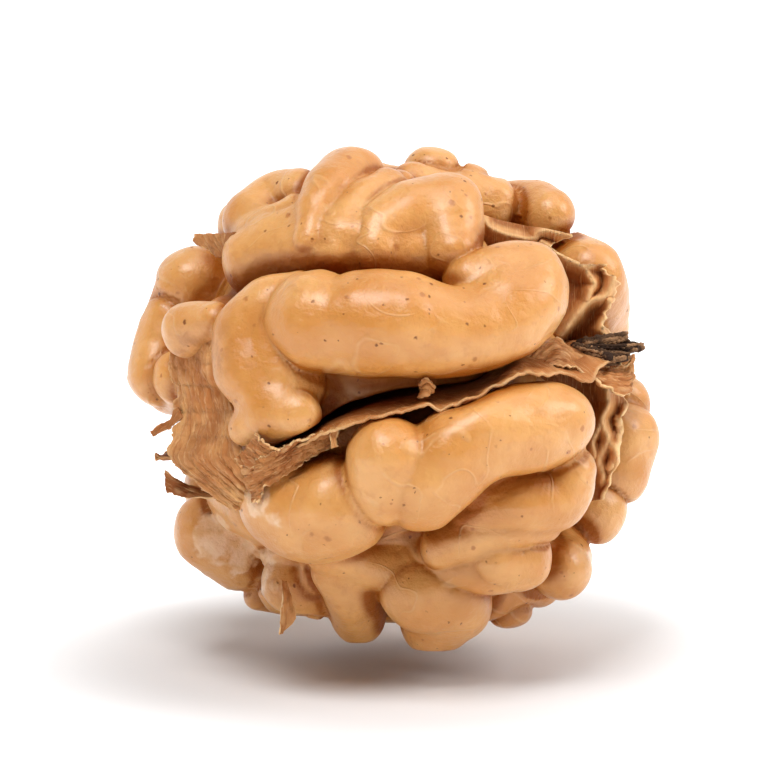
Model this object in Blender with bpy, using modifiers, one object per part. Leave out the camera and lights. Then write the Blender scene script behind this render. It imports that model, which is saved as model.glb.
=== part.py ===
"""A whole shelled walnut kernel, lying as it rests on a table.

The kernel is one grown piece: an upper and a lower half, both deeply folded, joined by a
short isthmus near the pointed end.  The papery partition of the shell is still caught in
the crack between the halves, with an upright wall at the stem end, and a tuft of woody
stem fibres stands in front of that wall.

Everything is laid out in the kernel's own axes: across (from the pointed end at -14 to the
stem end at +14), away (front to back) and up.  The finished pieces are tipped forward by
REST_TIP and set down on the floor at z = 0.
"""

import math

import bmesh
import bpy
import numpy as np
from mathutils import Matrix, Vector

MM = 0.001

# The egg-shaped envelope that the crests of the folds touch, half sizes across, away, up
ENVELOPE = np.array((16.2, 14.2, 15.4)) * MM
# The solid flesh under the folds
CORE_CENTRE = np.array((-1.2, 0.0, 0.0)) * MM
CORE_HALF = np.array((10.8, 10.2, 12.2)) * MM

# How the kernel lies
REST_TIP = math.radians(10.0)
MIDDLE_HEIGHT = 13.75 * MM
MIDDLE_SHIFT = (0.0, 0.25 * MM)

# The crack, read from the pointed end to the stem end: across, up
CRACK = ((-16.0, -5.2), (-12.0, -5.0), (-8.2, -4.2), (-3.4, -1.3), (0.4, -0.1),
         (4.4, 0.3), (7.6, 1.8), (11.9, 0.6), (16.5, 0.0))
CRACK_RISE = 0.11
CRACK_FRONT = -12.0 * MM

# The partition
SHEET_THICK = 0.6 * MM
CLEARANCE = 0.4 * MM
SHEET_HALF = (14.1 * MM, 12.4 * MM)
ISTHMUS_CENTRE = (-5.0 * MM, 0.0)
ISTHMUS_RADIUS = 5.0 * MM
WALL_AWAY = -3.4 * MM
# Waves of the sheet's ragged rim: how many go round, their start in radians, their share of the radius
RIM_WAVES = ((5, 0.6, 0.02), (11, 0.0, 0.015))
# Ripples of the two plates: height, radians per mm in two directions, start in radians
SHEET_RIPPLE = (0.22 * MM, 0.9, 0.7, 0.5)
WALL_RIPPLE = (0.3 * MM, 0.9, 0.8, 1.0)
# How far the cutters reach past the plates: the sheet's rim, then the wall's foot, top, inner and
# outer edge in mm
CRACK_REACH = 6.0 * MM
SLOT_REACH = (0.5, 5.0, 0.5, 5.0)
# The wall's inner and outer edge from its foot to its torn top: across, up
WALL_INNER = ((11.3, -6.0), (10.9, -3.0), (9.6, 0.0), (6.8, 1.8), (6.0, 4.5), (5.6, 7.8), (5.2, 10.6))
WALL_OUTER = ((13.0, -6.0), (13.5, -3.0), (14.6, 0.3), (14.1, 2.6), (13.8, 5.0), (13.9, 7.0), (13.6, 8.6))

# Mesh fineness
FOLD_VOXEL = 0.4 * MM
CUT_VOXEL = 0.3 * MM
KERNEL_TRIANGLES = 9000
FIBRE_VOXEL = 0.16 * MM
FIBRE_TRIANGLES = 900
SHARP_ANGLE = math.radians(50)

# The block below the floor that trims the feet: side and depth
TRIM_SIDE = 60.0 * MM
TRIM_DEPTH = 10.0 * MM

# The faces of the envelope: the axis that its depth runs along, and the side
FACES = {"left": (0, -1), "right": (0, 1), "front": (1, -1), "back": (1, 1), "under": (2, -1), "crown": (2, 1)}

# Each fold: its face, a shift along that face's depth in mm, and its stations in mm.  A
# station is its place on the two other axes (across before away before up), the fold's
# radius and how far its crest stands out of the envelope, which gives the depth.
UPPER_FOLDS = {
    "main_upper": ("front", 0.0, ((-4.3, 4.5, 3.0, 0.9), (-1.9, 4.4, 3.1, 1.1), (0.7, 4.2, 3.0, 1.1),
                                  (3.3, 3.9, 2.6, 0.8), (5.5, 4.3, 2.6, 0.7), (7.2, 5.7, 2.8, 0.9),
                                  (7.6, 6.5, 2.7, 0.9))),
    "curl_left": ("front", 0.0, ((-5.4, 6.0, 1.4, -0.4), (-7.2, 5.3, 1.8, 0.0), (-8.7, 3.6, 1.8, 0.1),
                                 (-8.6, 1.7, 1.8, 0.2), (-7.6, 0.3, 1.6, 0.0), (-6.6, 0.0, 1.5, -0.3))),
    "curl_inner": ("front", 0.0, ((-6.6, 3.6, 1.6, -0.5), (-6.0, 1.8, 1.7, -0.6), (-4.4, 1.2, 1.5, -1.3))),
    "curl_foot": ("front", 0.0, ((-8.3, -1.5, 1.3, -0.2), (-6.9, -0.9, 1.7, 0.0),
                                 (-5.4, -0.8, 1.4, -0.3))),
    "knob_arm": ("front", 0.0, ((7.8, 7.2, 1.9, 0.4), (6.1, 7.3, 1.8, 0.0), (4.4, 7.0, 1.5, -0.6))),
    "upper_floor": ("front", 0.0, ((-8.4, 7.5, 1.6, -1.3), (-6.6, 8.3, 1.8, -1.0),
                                   (-4.4, 8.6, 1.9, -1.0), (-2.0, 8.5, 1.9, -1.3),
                                   (0.6, 8.3, 1.9, -1.7), (2.9, 8.0, 1.8, -2.0))),
    "top_left": ("front", 0.0, ((-8.1, 10.6, 2.0, 0.1), (-6.9, 11.6, 1.9, 0.0), (-5.6, 11.9, 1.7, -0.2))),
    "top_left_low": ("front", 0.0, ((-7.7, 9.4, 1.8, -0.6), (-6.4, 10.2, 1.5, -0.5),
                                    (-5.7, 10.9, 1.2, -0.5))),
    "top_finger": ("front", 0.0, ((-2.5, 13.1, 2.0, 0.5), (-3.5, 12.2, 1.7, 0.5),
                                  (-4.5, 10.9, 1.3, 0.2), (-4.8, 9.4, 1.1, -0.4))),
    "top_pleat": ("front", 0.0, ((-0.4, 12.3, 1.3, -0.3), (-1.9, 11.3, 1.4, -0.2),
                                 (-3.0, 9.8, 1.4, -0.5), (-3.3, 8.6, 1.2, -0.9))),
    "top_middle": ("front", 0.0, ((2.9, 11.1, 2.3, 0.6), (1.2, 10.6, 2.2, 0.2), (-0.4, 9.9, 1.8, -0.2),
                                  (-1.0, 8.8, 1.6, -0.7))),
    "middle_neck": ("front", 0.0, ((3.2, 9.9, 2.1, 0.1), (3.4, 8.7, 1.8, -0.4))),
    "top_small": ("front", 1.5, ((0.3, 12.4, 1.1, 0.0), (-0.1, 11.7, 0.9, 0.0))),
    "top_far_a": ("back", -1.0, ((2.3, 13.2, 2.1, 0.2), (3.5, 12.6, 1.6, 0.0))),
    "top_far_b": ("back", -2.5, ((4.4, 12.2, 2.1, 0.2), (5.4, 11.6, 1.5, 0.0))),
    "top_right": ("back", -0.4, ((7.0, 11.3, 2.0, 0.3), (8.2, 11.3, 2.0, 0.5), (9.3, 11.0, 1.7, 0.4))),
    "right_shoulder": ("back", -1.0, ((10.7, 8.3, 2.0, 0.0), (11.8, 7.3, 2.1, 0.0), (12.1, 5.1, 2.2, 0.0),
                                      (12.0, 3.4, 1.8, 0.0))),
    "left_top": ("back", -2.0, ((-11.8, 7.1, 2.1, 0.2), (-10.6, 7.5, 1.7, 0.0))),
    "left_knob": ("front", 0.0, ((-11.9, 4.1, 1.7, 0.2), (-10.3, 4.6, 1.2, -0.2))),
    "left_low": ("back", -2.5, ((-13.9, 1.6, 2.2, 0.3), (-14.1, 3.4, 1.6, 0.3), (-13.3, 4.9, 1.6, 0.0))),
    "apex_web": ("front", 1.0, ((-9.8, 5.8, 1.6, -0.6), (-10.7, 3.2, 1.8, -0.7), (-11.0, 0.6, 1.9, -0.8),
                                (-10.8, -1.6, 1.7, -0.6), (-10.4, -2.8, 1.4, -0.6))),
    "back_upper_main": ("back", 0.0, ((-10.6, 1.2, 2.1, 0.1), (-7.6, 2.4, 2.4, 0.5),
                                      (-4.0, 4.6, 2.6, 0.8), (-0.5, 5.8, 2.5, 0.7), (2.6, 6.2, 2.3, 0.4))),
    "back_upper_knob": ("back", 0.0, ((5.4, 7.6, 2.2, 0.4), (8.0, 7.6, 2.4, 0.6), (10.0, 6.4, 2.2, 0.2))),
    "back_upper_left": ("back", 0.0, ((-9.6, 5.4, 1.9, 0.1), (-8.4, 7.4, 2.0, 0.3), (-6.2, 8.6, 2.0, 0.2))),
    "back_upper_mid": ("back", 0.0, ((-3.8, 9.0, 1.9, 0.2), (-1.2, 9.8, 2.0, 0.3), (1.4, 10.0, 1.9, 0.2))),
    "back_upper_right": ("back", 0.0, ((4.2, 10.0, 1.8, 0.1), (6.2, 10.2, 1.8, 0.1))),
    "crown_left": ("crown", 0.0, ((-8.6, 1.4, 2.0, -0.2), (-8.2, 4.2, 2.1, 0.0), (-6.0, 5.8, 2.0, 0.0))),
    "crown_middle": ("crown", 0.0, ((-4.6, 2.4, 2.0, -0.5), (-3.2, 4.8, 2.1, -0.3), (-0.8, 5.6, 2.0, -0.3))),
    "crown_arch": ("crown", 0.0, ((-0.8, 1.8, 1.8, -0.8), (1.6, 4.0, 2.0, -0.5), (3.6, 6.0, 2.0, -0.2))),
    "crown_hollow": ("crown", 0.0, ((4.6, -6.6, 1.6, -3.4), (6.6, -6.2, 1.6, -3.6),
                                    (8.2, -5.6, 1.5, -3.6))),
    "crown_wall": ("crown", 0.0, ((1.4, -1.6, 1.8, -1.0), (3.6, 0.4, 1.9, -0.8), (6.0, 0.6, 1.9, -0.6))),
    "left_upper_crack": ("left", 0.0, ((-1.6, 1.4, 1.7, -1.4), (1.4, 0.9, 1.8, -1.0),
                                       (4.6, 1.2, 2.0, -0.5))),
    "left_upper_middle": ("left", 0.0, ((0.4, 6.6, 1.9, -0.3), (1.6, 3.8, 2.0, -0.1), (4.6, 4.2, 2.1, 0.0),
                                        (6.4, 6.4, 2.0, 0.0))),
    "right_upper_crack": ("right", 0.0, ((2.8, 4.8, 1.9, -0.7), (5.6, 4.8, 2.1, -0.3),
                                         (8.0, 5.0, 2.1, 0.0))),
    "right_upper_back": ("right", 0.0, ((3.0, 8.2, 1.9, -0.1), (5.6, 8.6, 2.0, 0.0))),
    "crown_right": ("crown", 0.0, ((5.2, 3.4, 2.0, -0.2), (7.4, 4.4, 2.0, -0.1), (8.8, 2.8, 1.9, -0.2))),
}
LOWER_FOLDS = {
    "main_lower": ("front", 0.0, ((9.1, -1.4, 2.6, 0.6), (6.4, -1.7, 2.6, 0.8), (3.9, -2.7, 2.7, 0.9),
                                  (2.1, -4.5, 2.7, 0.9), (1.8, -4.9, 2.6, 0.8))),
    "right_cheek": ("front", 0.0, ((10.2, -3.9, 1.6, 0.1), (9.4, -5.5, 2.0, 0.3),
                                   (7.7, -5.9, 1.9, -0.1), (6.0, -6.2, 1.6, -0.6),
                                   (4.6, -6.8, 1.3, -1.2))),
    "knob_lower": ("front", 0.0, ((-0.3, -3.3, 2.5, 0.9), (-0.5, -4.7, 2.4, 0.6))),
    "big_lower_left": ("front", 0.0, ((-3.5, -6.2, 3.2, 0.7), (-5.4, -6.2, 3.0, 0.4), (-6.4, -5.8, 2.2, -0.1))),
    "hollow_right": ("front", 0.0, ((5.0, -5.2, 1.6, -1.3), (7.4, -4.9, 1.8, -1.0))),
    "fan_upper": ("front", 0.0, ((8.4, -6.9, 1.5, -0.3), (6.6, -7.2, 1.6, -0.4), (4.6, -7.7, 1.5, -0.8),
                                 (2.8, -8.3, 1.3, -1.4))),
    "fan_lower": ("front", 0.0, ((7.2, -8.8, 1.9, 0.0), (5.7, -9.2, 1.9, -0.2), (4.2, -9.5, 1.5, -0.8),
                                 (2.8, -9.7, 1.3, -1.4))),
    "under_floor": ("front", 0.0, ((-3.7, -8.6, 1.5, -1.5), (-1.3, -9.3, 1.7, -2.0),
                                   (1.2, -9.4, 1.8, -2.0), (3.0, -9.0, 1.7, -1.7))),
    "small_right": ("front", 0.0, ((7.4, -9.2, 1.7, 0.2), (5.9, -9.0, 1.5, 0.0))),
    "far_right_low": ("back", -3.0, ((10.1, -8.0, 1.8, 0.2), (9.9, -9.9, 2.0, 0.2))),
    "bottom_behind": ("back", -2.0, ((6.9, -12.0, 1.7, 0.0), (6.5, -11.2, 1.6, 0.0))),
    "front_foot": ("front", 0.0, ((1.7, -11.1, 2.6, 0.2), (3.3, -11.3, 2.6, 0.3), (2.5, -12.9, 2.2, 0.6))),
    "left_foot": ("front", 2.2, ((-3.3, -10.0, 1.5, -0.2), (-2.5, -11.3, 1.7, 0.1),
                                 (-2.1, -12.9, 1.7, 0.2))),
    "dark_foot": ("front", 3.0, ((-4.9, -10.5, 1.4, -0.6), (-4.6, -11.7, 1.4, -0.4))),
    "lower_left_lobe": ("back", -1.5, ((-10.8, -8.0, 2.4, 0.2), (-8.9, -9.4, 2.3, 0.0), (-7.9, -10.1, 1.8, 0.0))),
    "under_left": ("back", -1.0, ((-7.9, -11.3, 1.4, 0.0), (-6.6, -11.5, 1.5, 0.0))),
    "right_lower_lobe": ("back", 0.2, ((13.5, -2.2, 2.5, 0.2), (13.0, -4.2, 2.5, 0.2))),
    "back_lower_main": ("back", 0.0, ((-10.6, -5.4, 2.2, -0.6), (-8.0, -4.2, 2.3, 0.3),
                                      (-4.6, -2.4, 2.5, 0.7), (-1.2, -1.0, 2.6, 0.8),
                                      (2.4, -0.2, 2.5, 0.6))),
    "back_lower_knob": ("back", 0.0, ((5.0, 0.6, 2.4, 0.5), (8.0, 0.8, 2.5, 0.6), (10.2, -1.4, 2.4, 0.3))),
    "back_lower_left": ("back", 0.0, ((-9.6, -7.2, 2.1, 0.2), (-7.0, -7.0, 2.3, 0.4), (-4.4, -5.6, 2.2, 0.3))),
    "back_lower_mid": ("back", 0.0, ((-2.2, -7.6, 2.1, 0.2), (0.2, -5.4, 2.3, 0.4), (2.8, -4.2, 2.2, 0.3))),
    "back_lower_right": ("back", 0.0, ((4.2, -7.6, 2.1, 0.2), (6.6, -5.8, 2.2, 0.4), (8.8, -6.2, 2.0, 0.2))),
    "back_lower_heel": ("back", 0.0, ((-5.4, -10.2, 1.9, 0.1), (-2.8, -10.8, 2.0, 0.1), (0.4, -9.8, 2.0, 0.1))),
    "under_back": ("under", 0.0, ((-7.4, 5.8, 2.1, 0.1), (-4.0, 6.4, 2.3, 0.3), (-0.6, 7.4, 2.2, 0.1))),
    "under_heel": ("under", 0.0, ((2.8, 7.2, 2.2, 0.3), (5.8, 5.8, 2.2, 0.2), (8.2, 3.6, 2.0, 0.0))),
    "under_middle": ("under", 0.0, ((-6.6, 1.4, 2.0, -0.8), (-3.4, 0.8, 2.2, -1.7), (-0.2, 2.6, 2.2, -1.5),
                                    (3.2, 2.4, 2.1, -1.2))),
    "under_front": ("under", 0.0, ((-5.6, -2.6, 2.0, -1.0), (-2.6, -1.6, 1.8, -2.0), (0.6, -0.8, 1.8, -2.2))),
    "under_right": ("under", 0.0, ((4.0, -1.0, 2.0, -1.6), (6.2, -1.8, 2.0, -0.8), (8.2, -0.4, 2.0, -0.3))),
    "left_lower_crack": ("left", 0.0, ((-3.6, -6.2, 1.8, -3.0), (-0.5, -6.0, 2.0, -3.0),
                                       (3.0, -5.8, 2.1, -2.8), (6.4, -5.6, 2.1, -2.2))),
    "left_lower_back": ("left", 0.0, ((2.6, -8.8, 2.1, 0.0), (5.6, -8.6, 2.1, 0.0))),
    "right_lower_back": ("right", 0.0, ((3.4, -0.4, 2.1, 0.0), (6.4, -0.2, 2.3, 0.2), (7.6, -3.0, 2.2, 0.1))),
    "right_lower_middle": ("right", 0.0, ((0.6, -6.8, 2.0, -0.2), (3.6, -5.2, 2.2, 0.0), (4.8, -7.8, 2.1, 0.0))),
    "right_lower_front": ("right", 0.0, ((-6.0, -4.0, 1.6, -1.6), (-5.4, -6.4, 1.7, -2.2),
                                         (-2.6, -8.4, 1.9, -2.0))),
}

# The woody strands of the stem: start, middle and end (across, away, up) and their radii in mm
STRANDS = (
    ((10.7, -5.0, 3.2), (12.6, -4.9, 2.9), (14.9, -5.0, 3.2), (0.60, 0.55, 0.42)),
    ((10.9, -5.4, 2.9), (12.6, -5.5, 2.5), (14.4, -5.7, 2.3), (0.48, 0.45, 0.34)),
    ((10.9, -5.0, 3.6), (12.4, -5.1, 3.7), (13.9, -5.2, 4.1), (0.46, 0.42, 0.32)),
    ((10.5, -5.3, 3.2), (11.8, -5.8, 3.0), (13.2, -6.2, 3.0), (0.48, 0.42, 0.30)),
)


def clear_scene():
    for thing in list(bpy.data.objects):
        bpy.data.objects.remove(thing, do_unlink=True)


def make_material(name, colour, roughness):
    material = bpy.data.materials.new(name)
    material.use_nodes = True
    shader = material.node_tree.nodes["Principled BSDF"]
    shader.inputs["Base Color"].default_value = (*colour, 1.0)
    shader.inputs["Roughness"].default_value = roughness
    shader.inputs["Metallic"].default_value = 0.0
    return material


def smooth_route(stations, steps=6):
    """A Catmull-Rom curve through the stations, row by row, with every column smoothed alike."""
    points = np.asarray(stations, float)
    points = np.vstack((2 * points[0] - points[1], points, 2 * points[-1] - points[-2]))
    rows = []
    for k in range(1, len(points) - 2):
        before, start, end, after = points[k - 1:k + 3]
        for t in np.arange(steps) / steps:
            rows.append(0.5 * (2 * start + (end - before) * t
                               + (2 * before - 5 * start + 4 * end - after) * t ** 2
                               + (3 * start - before - 3 * end + after) * t ** 3))
    rows.append(points[-2])
    return np.array(rows)


def fold_centres(face, shift, stations):
    """Across, away, up and radius along a fold, with its depth taken from the envelope."""
    depth_axis, side = FACES[face]
    centres = []
    for first, second, radius, lift in np.asarray(stations) * MM:
        half = ENVELOPE - radius + lift
        known = [axis for axis in range(3) if axis != depth_axis]
        rest = 1 - (first / half[known[0]]) ** 2 - (second / half[known[1]]) ** 2
        centre = [0.0, 0.0, 0.0, radius]
        centre[known[0]] = first
        centre[known[1]] = second
        centre[depth_axis] = side * half[depth_axis] * math.sqrt(max(rest, 0.0)) + shift * MM
        centres.append(centre)
    return smooth_route(centres)


def crack_height(across, away):
    """Height of the crack's middle surface: the front line, rising towards the back."""
    line = smooth_route(CRACK) * MM
    front = np.interp(across, line[:, 0], line[:, 1])
    return front + CRACK_RISE * (away - CRACK_FRONT)


def new_object(name, mesh, collection):
    thing = bpy.data.objects.new(name, mesh)
    collection.objects.link(thing)
    return thing


def tubes_mesh(name, routes, collection):
    """One mesh of round tubes with ball ends, a tube for each route of centres and radii."""
    curve = bpy.data.curves.new(name, "CURVE")
    curve.dimensions = "3D"
    curve.bevel_depth = MM
    curve.bevel_resolution = 4
    curve.use_fill_caps = True
    for route in routes:
        spline = curve.splines.new("POLY")
        spline.points.add(len(route) - 1)
        for point, (x, y, z, radius) in zip(spline.points, route):
            point.co = (x, y, z, 1.0)
            point.radius = radius / MM
    holder = new_object(name, curve, collection)
    bpy.context.view_layer.update()
    mesh = bpy.data.meshes.new_from_object(holder.evaluated_get(bpy.context.evaluated_depsgraph_get()))
    bpy.data.objects.remove(holder, do_unlink=True)
    shape = bmesh.new()
    shape.from_mesh(mesh)
    bmesh.ops.remove_doubles(shape, verts=shape.verts, dist=0.00001)
    for route in routes:
        for x, y, z, radius in (route[0], route[-1]):
            bmesh.ops.create_uvsphere(shape, u_segments=16, v_segments=10, radius=radius,
                                      matrix=Matrix.Translation((x, y, z)))
    shape.to_mesh(mesh)
    shape.free()
    return mesh


def add_remesh(thing, voxel, smoothing):
    remesh = thing.modifiers.new("merge", "REMESH")
    remesh.mode = "VOXEL"
    remesh.voxel_size = voxel
    smooth = thing.modifiers.new("soften", "SMOOTH")
    smooth.factor = 0.5
    smooth.iterations = smoothing


def add_boolean(thing, other, operation):
    boolean = thing.modifiers.new(operation.lower(), "BOOLEAN")
    boolean.operation = operation
    boolean.object = other
    boolean.solver = "EXACT"


def apply_modifiers(thing):
    bpy.context.view_layer.update()
    graph = bpy.context.evaluated_depsgraph_get()
    mesh = bpy.data.meshes.new_from_object(thing.evaluated_get(graph))
    thing.modifiers.clear()
    thing.data = mesh


def keep_largest_body(thing):
    """Drop the loose scraps and fill the sealed pockets that joining and cutting leave."""
    shape = bmesh.new()
    shape.from_mesh(thing.data)
    unseen = set(shape.verts)
    bodies = []
    while unseen:
        body = {unseen.pop()}
        edge = list(body)
        while edge:
            for link in edge.pop().link_edges:
                for vert in link.verts:
                    if vert in unseen:
                        unseen.discard(vert)
                        body.add(vert)
                        edge.append(vert)
        bodies.append(body)
    largest = max(bodies, key=len)
    bmesh.ops.delete(shape, geom=[vert for vert in shape.verts if vert not in largest], context="VERTS")
    shape.to_mesh(thing.data)
    shape.free()


def decimate_to(thing, triangles):
    thing.data.calc_loop_triangles()
    reduce = thing.modifiers.new("reduce", "DECIMATE")
    reduce.ratio = triangles / len(thing.data.loop_triangles)
    reduce.use_collapse_triangulate = True
    apply_modifiers(thing)


def grid_plate(name, columns, rows, place, thickness, collection, closed=False):
    """A grid bent by place(s, t), with s and t from 0 to 1, and thickened to a plate."""
    shape = bmesh.new()
    bmesh.ops.create_grid(shape, x_segments=columns, y_segments=rows, size=1.0)
    for vert in shape.verts:
        vert.co = place(0.5 + 0.5 * vert.co.x, 0.5 + 0.5 * vert.co.y)
    if closed:
        bmesh.ops.remove_doubles(shape, verts=shape.verts, dist=0.000005)
    bmesh.ops.triangulate(shape, faces=shape.faces)
    bmesh.ops.recalc_face_normals(shape, faces=shape.faces)
    mesh = bpy.data.meshes.new(name)
    shape.to_mesh(mesh)
    shape.free()
    plate = new_object(name, mesh, collection)
    solidify = plate.modifiers.new("thickness", "SOLIDIFY")
    solidify.thickness = thickness
    solidify.offset = 0.0
    return plate


def sheet_place(rim_extra, hole_extra):
    """Ring between the isthmus and the rim; s goes round, t from the hole to the rim."""
    def place(s, t):
        turn = 2 * math.pi * s
        ragged = 1.0 + sum(share * math.sin(count * turn + start) for count, start, share in RIM_WAVES)
        rim = np.array((math.cos(turn) * (SHEET_HALF[0] * ragged + rim_extra),
                        math.sin(turn) * (SHEET_HALF[1] * ragged + rim_extra)))
        hole_radius = ISTHMUS_RADIUS + hole_extra
        hole = np.array(ISTHMUS_CENTRE) + hole_radius * np.array((math.cos(turn), math.sin(turn)))
        across, away = hole + (rim - hole) * t
        height, by_across, by_away, start = SHEET_RIPPLE
        ripple = height * math.sin(across / MM * by_across) * math.cos(away / MM * by_away + start)
        return Vector((across, away, float(crack_height(across, away)) + ripple))
    return place


def wall_place(reach):
    """Loft between the wall's inner and outer edge; s from the foot up, t outwards.

    reach lengthens the loft at its foot, top, inner and outer edge, in mm."""
    foot, top, inner, outer = reach
    inner_edge = smooth_route(WALL_INNER, 8) * MM
    outer_edge = smooth_route(WALL_OUTER, 8) * MM

    def place(s, t):
        row = s * (len(inner_edge) - 1)
        low = min(int(row), len(inner_edge) - 2)
        start = inner_edge[low] + (inner_edge[low + 1] - inner_edge[low]) * (row - low)
        end = outer_edge[low] + (outer_edge[low + 1] - outer_edge[low]) * (row - low)
        across, up = start + (end - start) * t
        across += MM * (outer * max(0.0, 4 * t - 3) - inner * max(0.0, 1 - 4 * t))
        up += MM * (top * max(0.0, 6 * s - 5) - foot * max(0.0, 1 - 6 * s))
        height, by_up, by_across, start = WALL_RIPPLE
        ripple = height * math.sin(up / MM * by_up) * math.sin(across / MM * by_across + start)
        return Vector((across, WALL_AWAY + ripple, up))
    return place


def build_kernel(parts, cutters, material):
    routes = [fold_centres(*fold) for fold in (*UPPER_FOLDS.values(), *LOWER_FOLDS.values())]
    mesh = tubes_mesh("kernel", routes, parts)
    shape = bmesh.new()
    shape.from_mesh(mesh)
    place = Matrix.Translation(CORE_CENTRE) @ Matrix.Diagonal((*CORE_HALF, 1.0))
    bmesh.ops.create_uvsphere(shape, u_segments=48, v_segments=32, radius=1.0, matrix=place)
    shape.to_mesh(mesh)
    shape.free()
    kernel = new_object("kernel", mesh, parts)
    add_remesh(kernel, FOLD_VOXEL, 3)
    apply_modifiers(kernel)

    slot_thick = SHEET_THICK + 2 * CLEARANCE
    crack_cutter = grid_plate("crack_cutter", 60, 8, sheet_place(CRACK_REACH, -CLEARANCE),
                              slot_thick, cutters, closed=True)
    wall_cutter = grid_plate("wall_cutter", 28, 12, wall_place(SLOT_REACH), slot_thick, cutters)
    for cutter in (crack_cutter, wall_cutter):
        cutter.hide_render = True
        cutter.display_type = "WIRE"
        add_boolean(kernel, cutter, "DIFFERENCE")
    apply_modifiers(kernel)
    add_remesh(kernel, CUT_VOXEL, 1)
    apply_modifiers(kernel)
    keep_largest_body(kernel)
    decimate_to(kernel, KERNEL_TRIANGLES)
    kernel.data.materials.clear()
    kernel.data.materials.append(material)
    return kernel


def build_partition(parts, material):
    sheet = grid_plate("partition", 60, 8, sheet_place(0.0, 0.0), SHEET_THICK, parts, closed=True)
    wall = grid_plate("partition_wall", 28, 12, wall_place((0, 0, 0, 0)), SHEET_THICK, parts)
    add_boolean(sheet, wall, "UNION")
    apply_modifiers(sheet)
    bpy.data.objects.remove(wall, do_unlink=True)
    keep_largest_body(sheet)
    sheet.data.materials.clear()
    sheet.data.materials.append(material)
    return sheet


def build_stem_fibres(parts, material):
    routes = []
    for start, middle, end, radii in STRANDS:
        stations = [(*np.array(place) * MM, radius * MM) for place, radius in zip((start, middle, end), radii)]
        routes.append(smooth_route(stations))
    fibres = new_object("stem_fibres", tubes_mesh("stem_fibres", routes, parts), parts)
    add_remesh(fibres, FIBRE_VOXEL, 1)
    apply_modifiers(fibres)
    keep_largest_body(fibres)
    decimate_to(fibres, FIBRE_TRIANGLES)
    fibres.data.materials.clear()
    fibres.data.materials.append(material)
    return fibres


def set_down(pieces, cutters):
    """Tip the pieces forward, stand them on the floor and trim the feet flat at z = 0."""
    lay = (Matrix.Translation((*MIDDLE_SHIFT, MIDDLE_HEIGHT)) @ Matrix.Rotation(-REST_TIP, 4, "X"))
    for piece in pieces:
        piece.data.transform(lay)
        piece.data.shade_smooth()
        piece.data.set_sharp_from_angle(angle=SHARP_ANGLE)
    block = bmesh.new()
    bmesh.ops.create_cube(block, size=1.0, matrix=Matrix.Translation((0, 0, -TRIM_DEPTH / 2))
                          @ Matrix.Diagonal((TRIM_SIDE, TRIM_SIDE, TRIM_DEPTH, 1.0)))
    mesh = bpy.data.meshes.new("floor_cutter")
    block.to_mesh(mesh)
    block.free()
    floor_cutter = new_object("floor_cutter", mesh, cutters)
    floor_cutter.hide_render = True
    floor_cutter.display_type = "WIRE"
    add_boolean(pieces[0], floor_cutter, "DIFFERENCE")


def main():
    clear_scene()
    parts = bpy.data.collections.new("walnut_kernel")
    cutters = bpy.data.collections.new("cutters")
    for collection in (parts, cutters):
        bpy.context.scene.collection.children.link(collection)
    skin = make_material("kernel_skin", (0.62, 0.35, 0.15), 0.42)
    paper = make_material("partition_paper", (0.48, 0.24, 0.13), 0.6)
    wood = make_material("stem_wood", (0.09, 0.045, 0.025), 0.7)
    pieces = [build_kernel(parts, cutters, skin), build_partition(parts, paper),
              build_stem_fibres(parts, wood)]
    set_down(pieces, cutters)


main()
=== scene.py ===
"""The looks of a whole shelled walnut kernel, laid out as a Blender add-on and run as a script.

The kernel's own axes are across (pointed end to stem end), away (front to back) and up, in
millimetres, with the origin in its middle.  lay_down() tips them into the frame of the parts.
"""

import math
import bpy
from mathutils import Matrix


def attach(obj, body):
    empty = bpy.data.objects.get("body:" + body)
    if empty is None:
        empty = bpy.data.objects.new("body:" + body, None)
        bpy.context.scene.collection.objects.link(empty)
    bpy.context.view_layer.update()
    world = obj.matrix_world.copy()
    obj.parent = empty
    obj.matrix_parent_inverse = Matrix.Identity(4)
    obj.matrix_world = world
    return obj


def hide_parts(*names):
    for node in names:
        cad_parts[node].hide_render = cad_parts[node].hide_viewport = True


bl_info = {
    "name": "Walnut kernel",
    "version": (1, 0, 0),
    "blender": (4, 5, 0),
    "location": "View3D > Sidebar > Walnut",
    "description": "Builds the folded flesh, papery partition and stem of a shelled walnut",
    "category": "Add Mesh",
}

import bpy
import numpy as np
from bpy.props import FloatProperty, FloatVectorProperty, PointerProperty
from bpy.types import Operator, Panel, PropertyGroup
from mathutils import Vector

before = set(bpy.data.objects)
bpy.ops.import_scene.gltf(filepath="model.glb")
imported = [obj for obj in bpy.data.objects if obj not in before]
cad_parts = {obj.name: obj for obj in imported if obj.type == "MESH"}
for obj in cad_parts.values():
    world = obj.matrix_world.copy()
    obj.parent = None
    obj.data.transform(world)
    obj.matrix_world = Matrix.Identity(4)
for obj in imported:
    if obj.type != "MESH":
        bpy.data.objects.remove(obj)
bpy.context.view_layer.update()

MM = 0.001
REST_TIP = math.radians(10.0)
MIDDLE_HEIGHT = 13.75
MIDDLE_SHIFT = 0.25
FLOOR_GAP = 0.02

# The egg-shaped envelope that the crests of the folds touch: half sizes across, away, up
ENVELOPE = np.array((16.2, 14.2, 15.4))
CORE_CENTRE = np.array((-1.2, 0.0, 0.0))
CORE_HALF = np.array((10.8, 10.2, 12.2))

# The crack's front line: across, up.  Its surface rises towards the back.
CRACK = ((-16.0, -5.2), (-12.0, -5.0), (-8.2, -4.2), (-3.4, -1.3), (0.4, -0.1),
         (4.4, 0.3), (7.6, 1.8), (11.9, 0.6), (16.5, 0.0))
CRACK_RISE = 0.11
CRACK_FRONT = -12.0
ISTHMUS = (-5.0, 0.0, 5.0)
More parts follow.
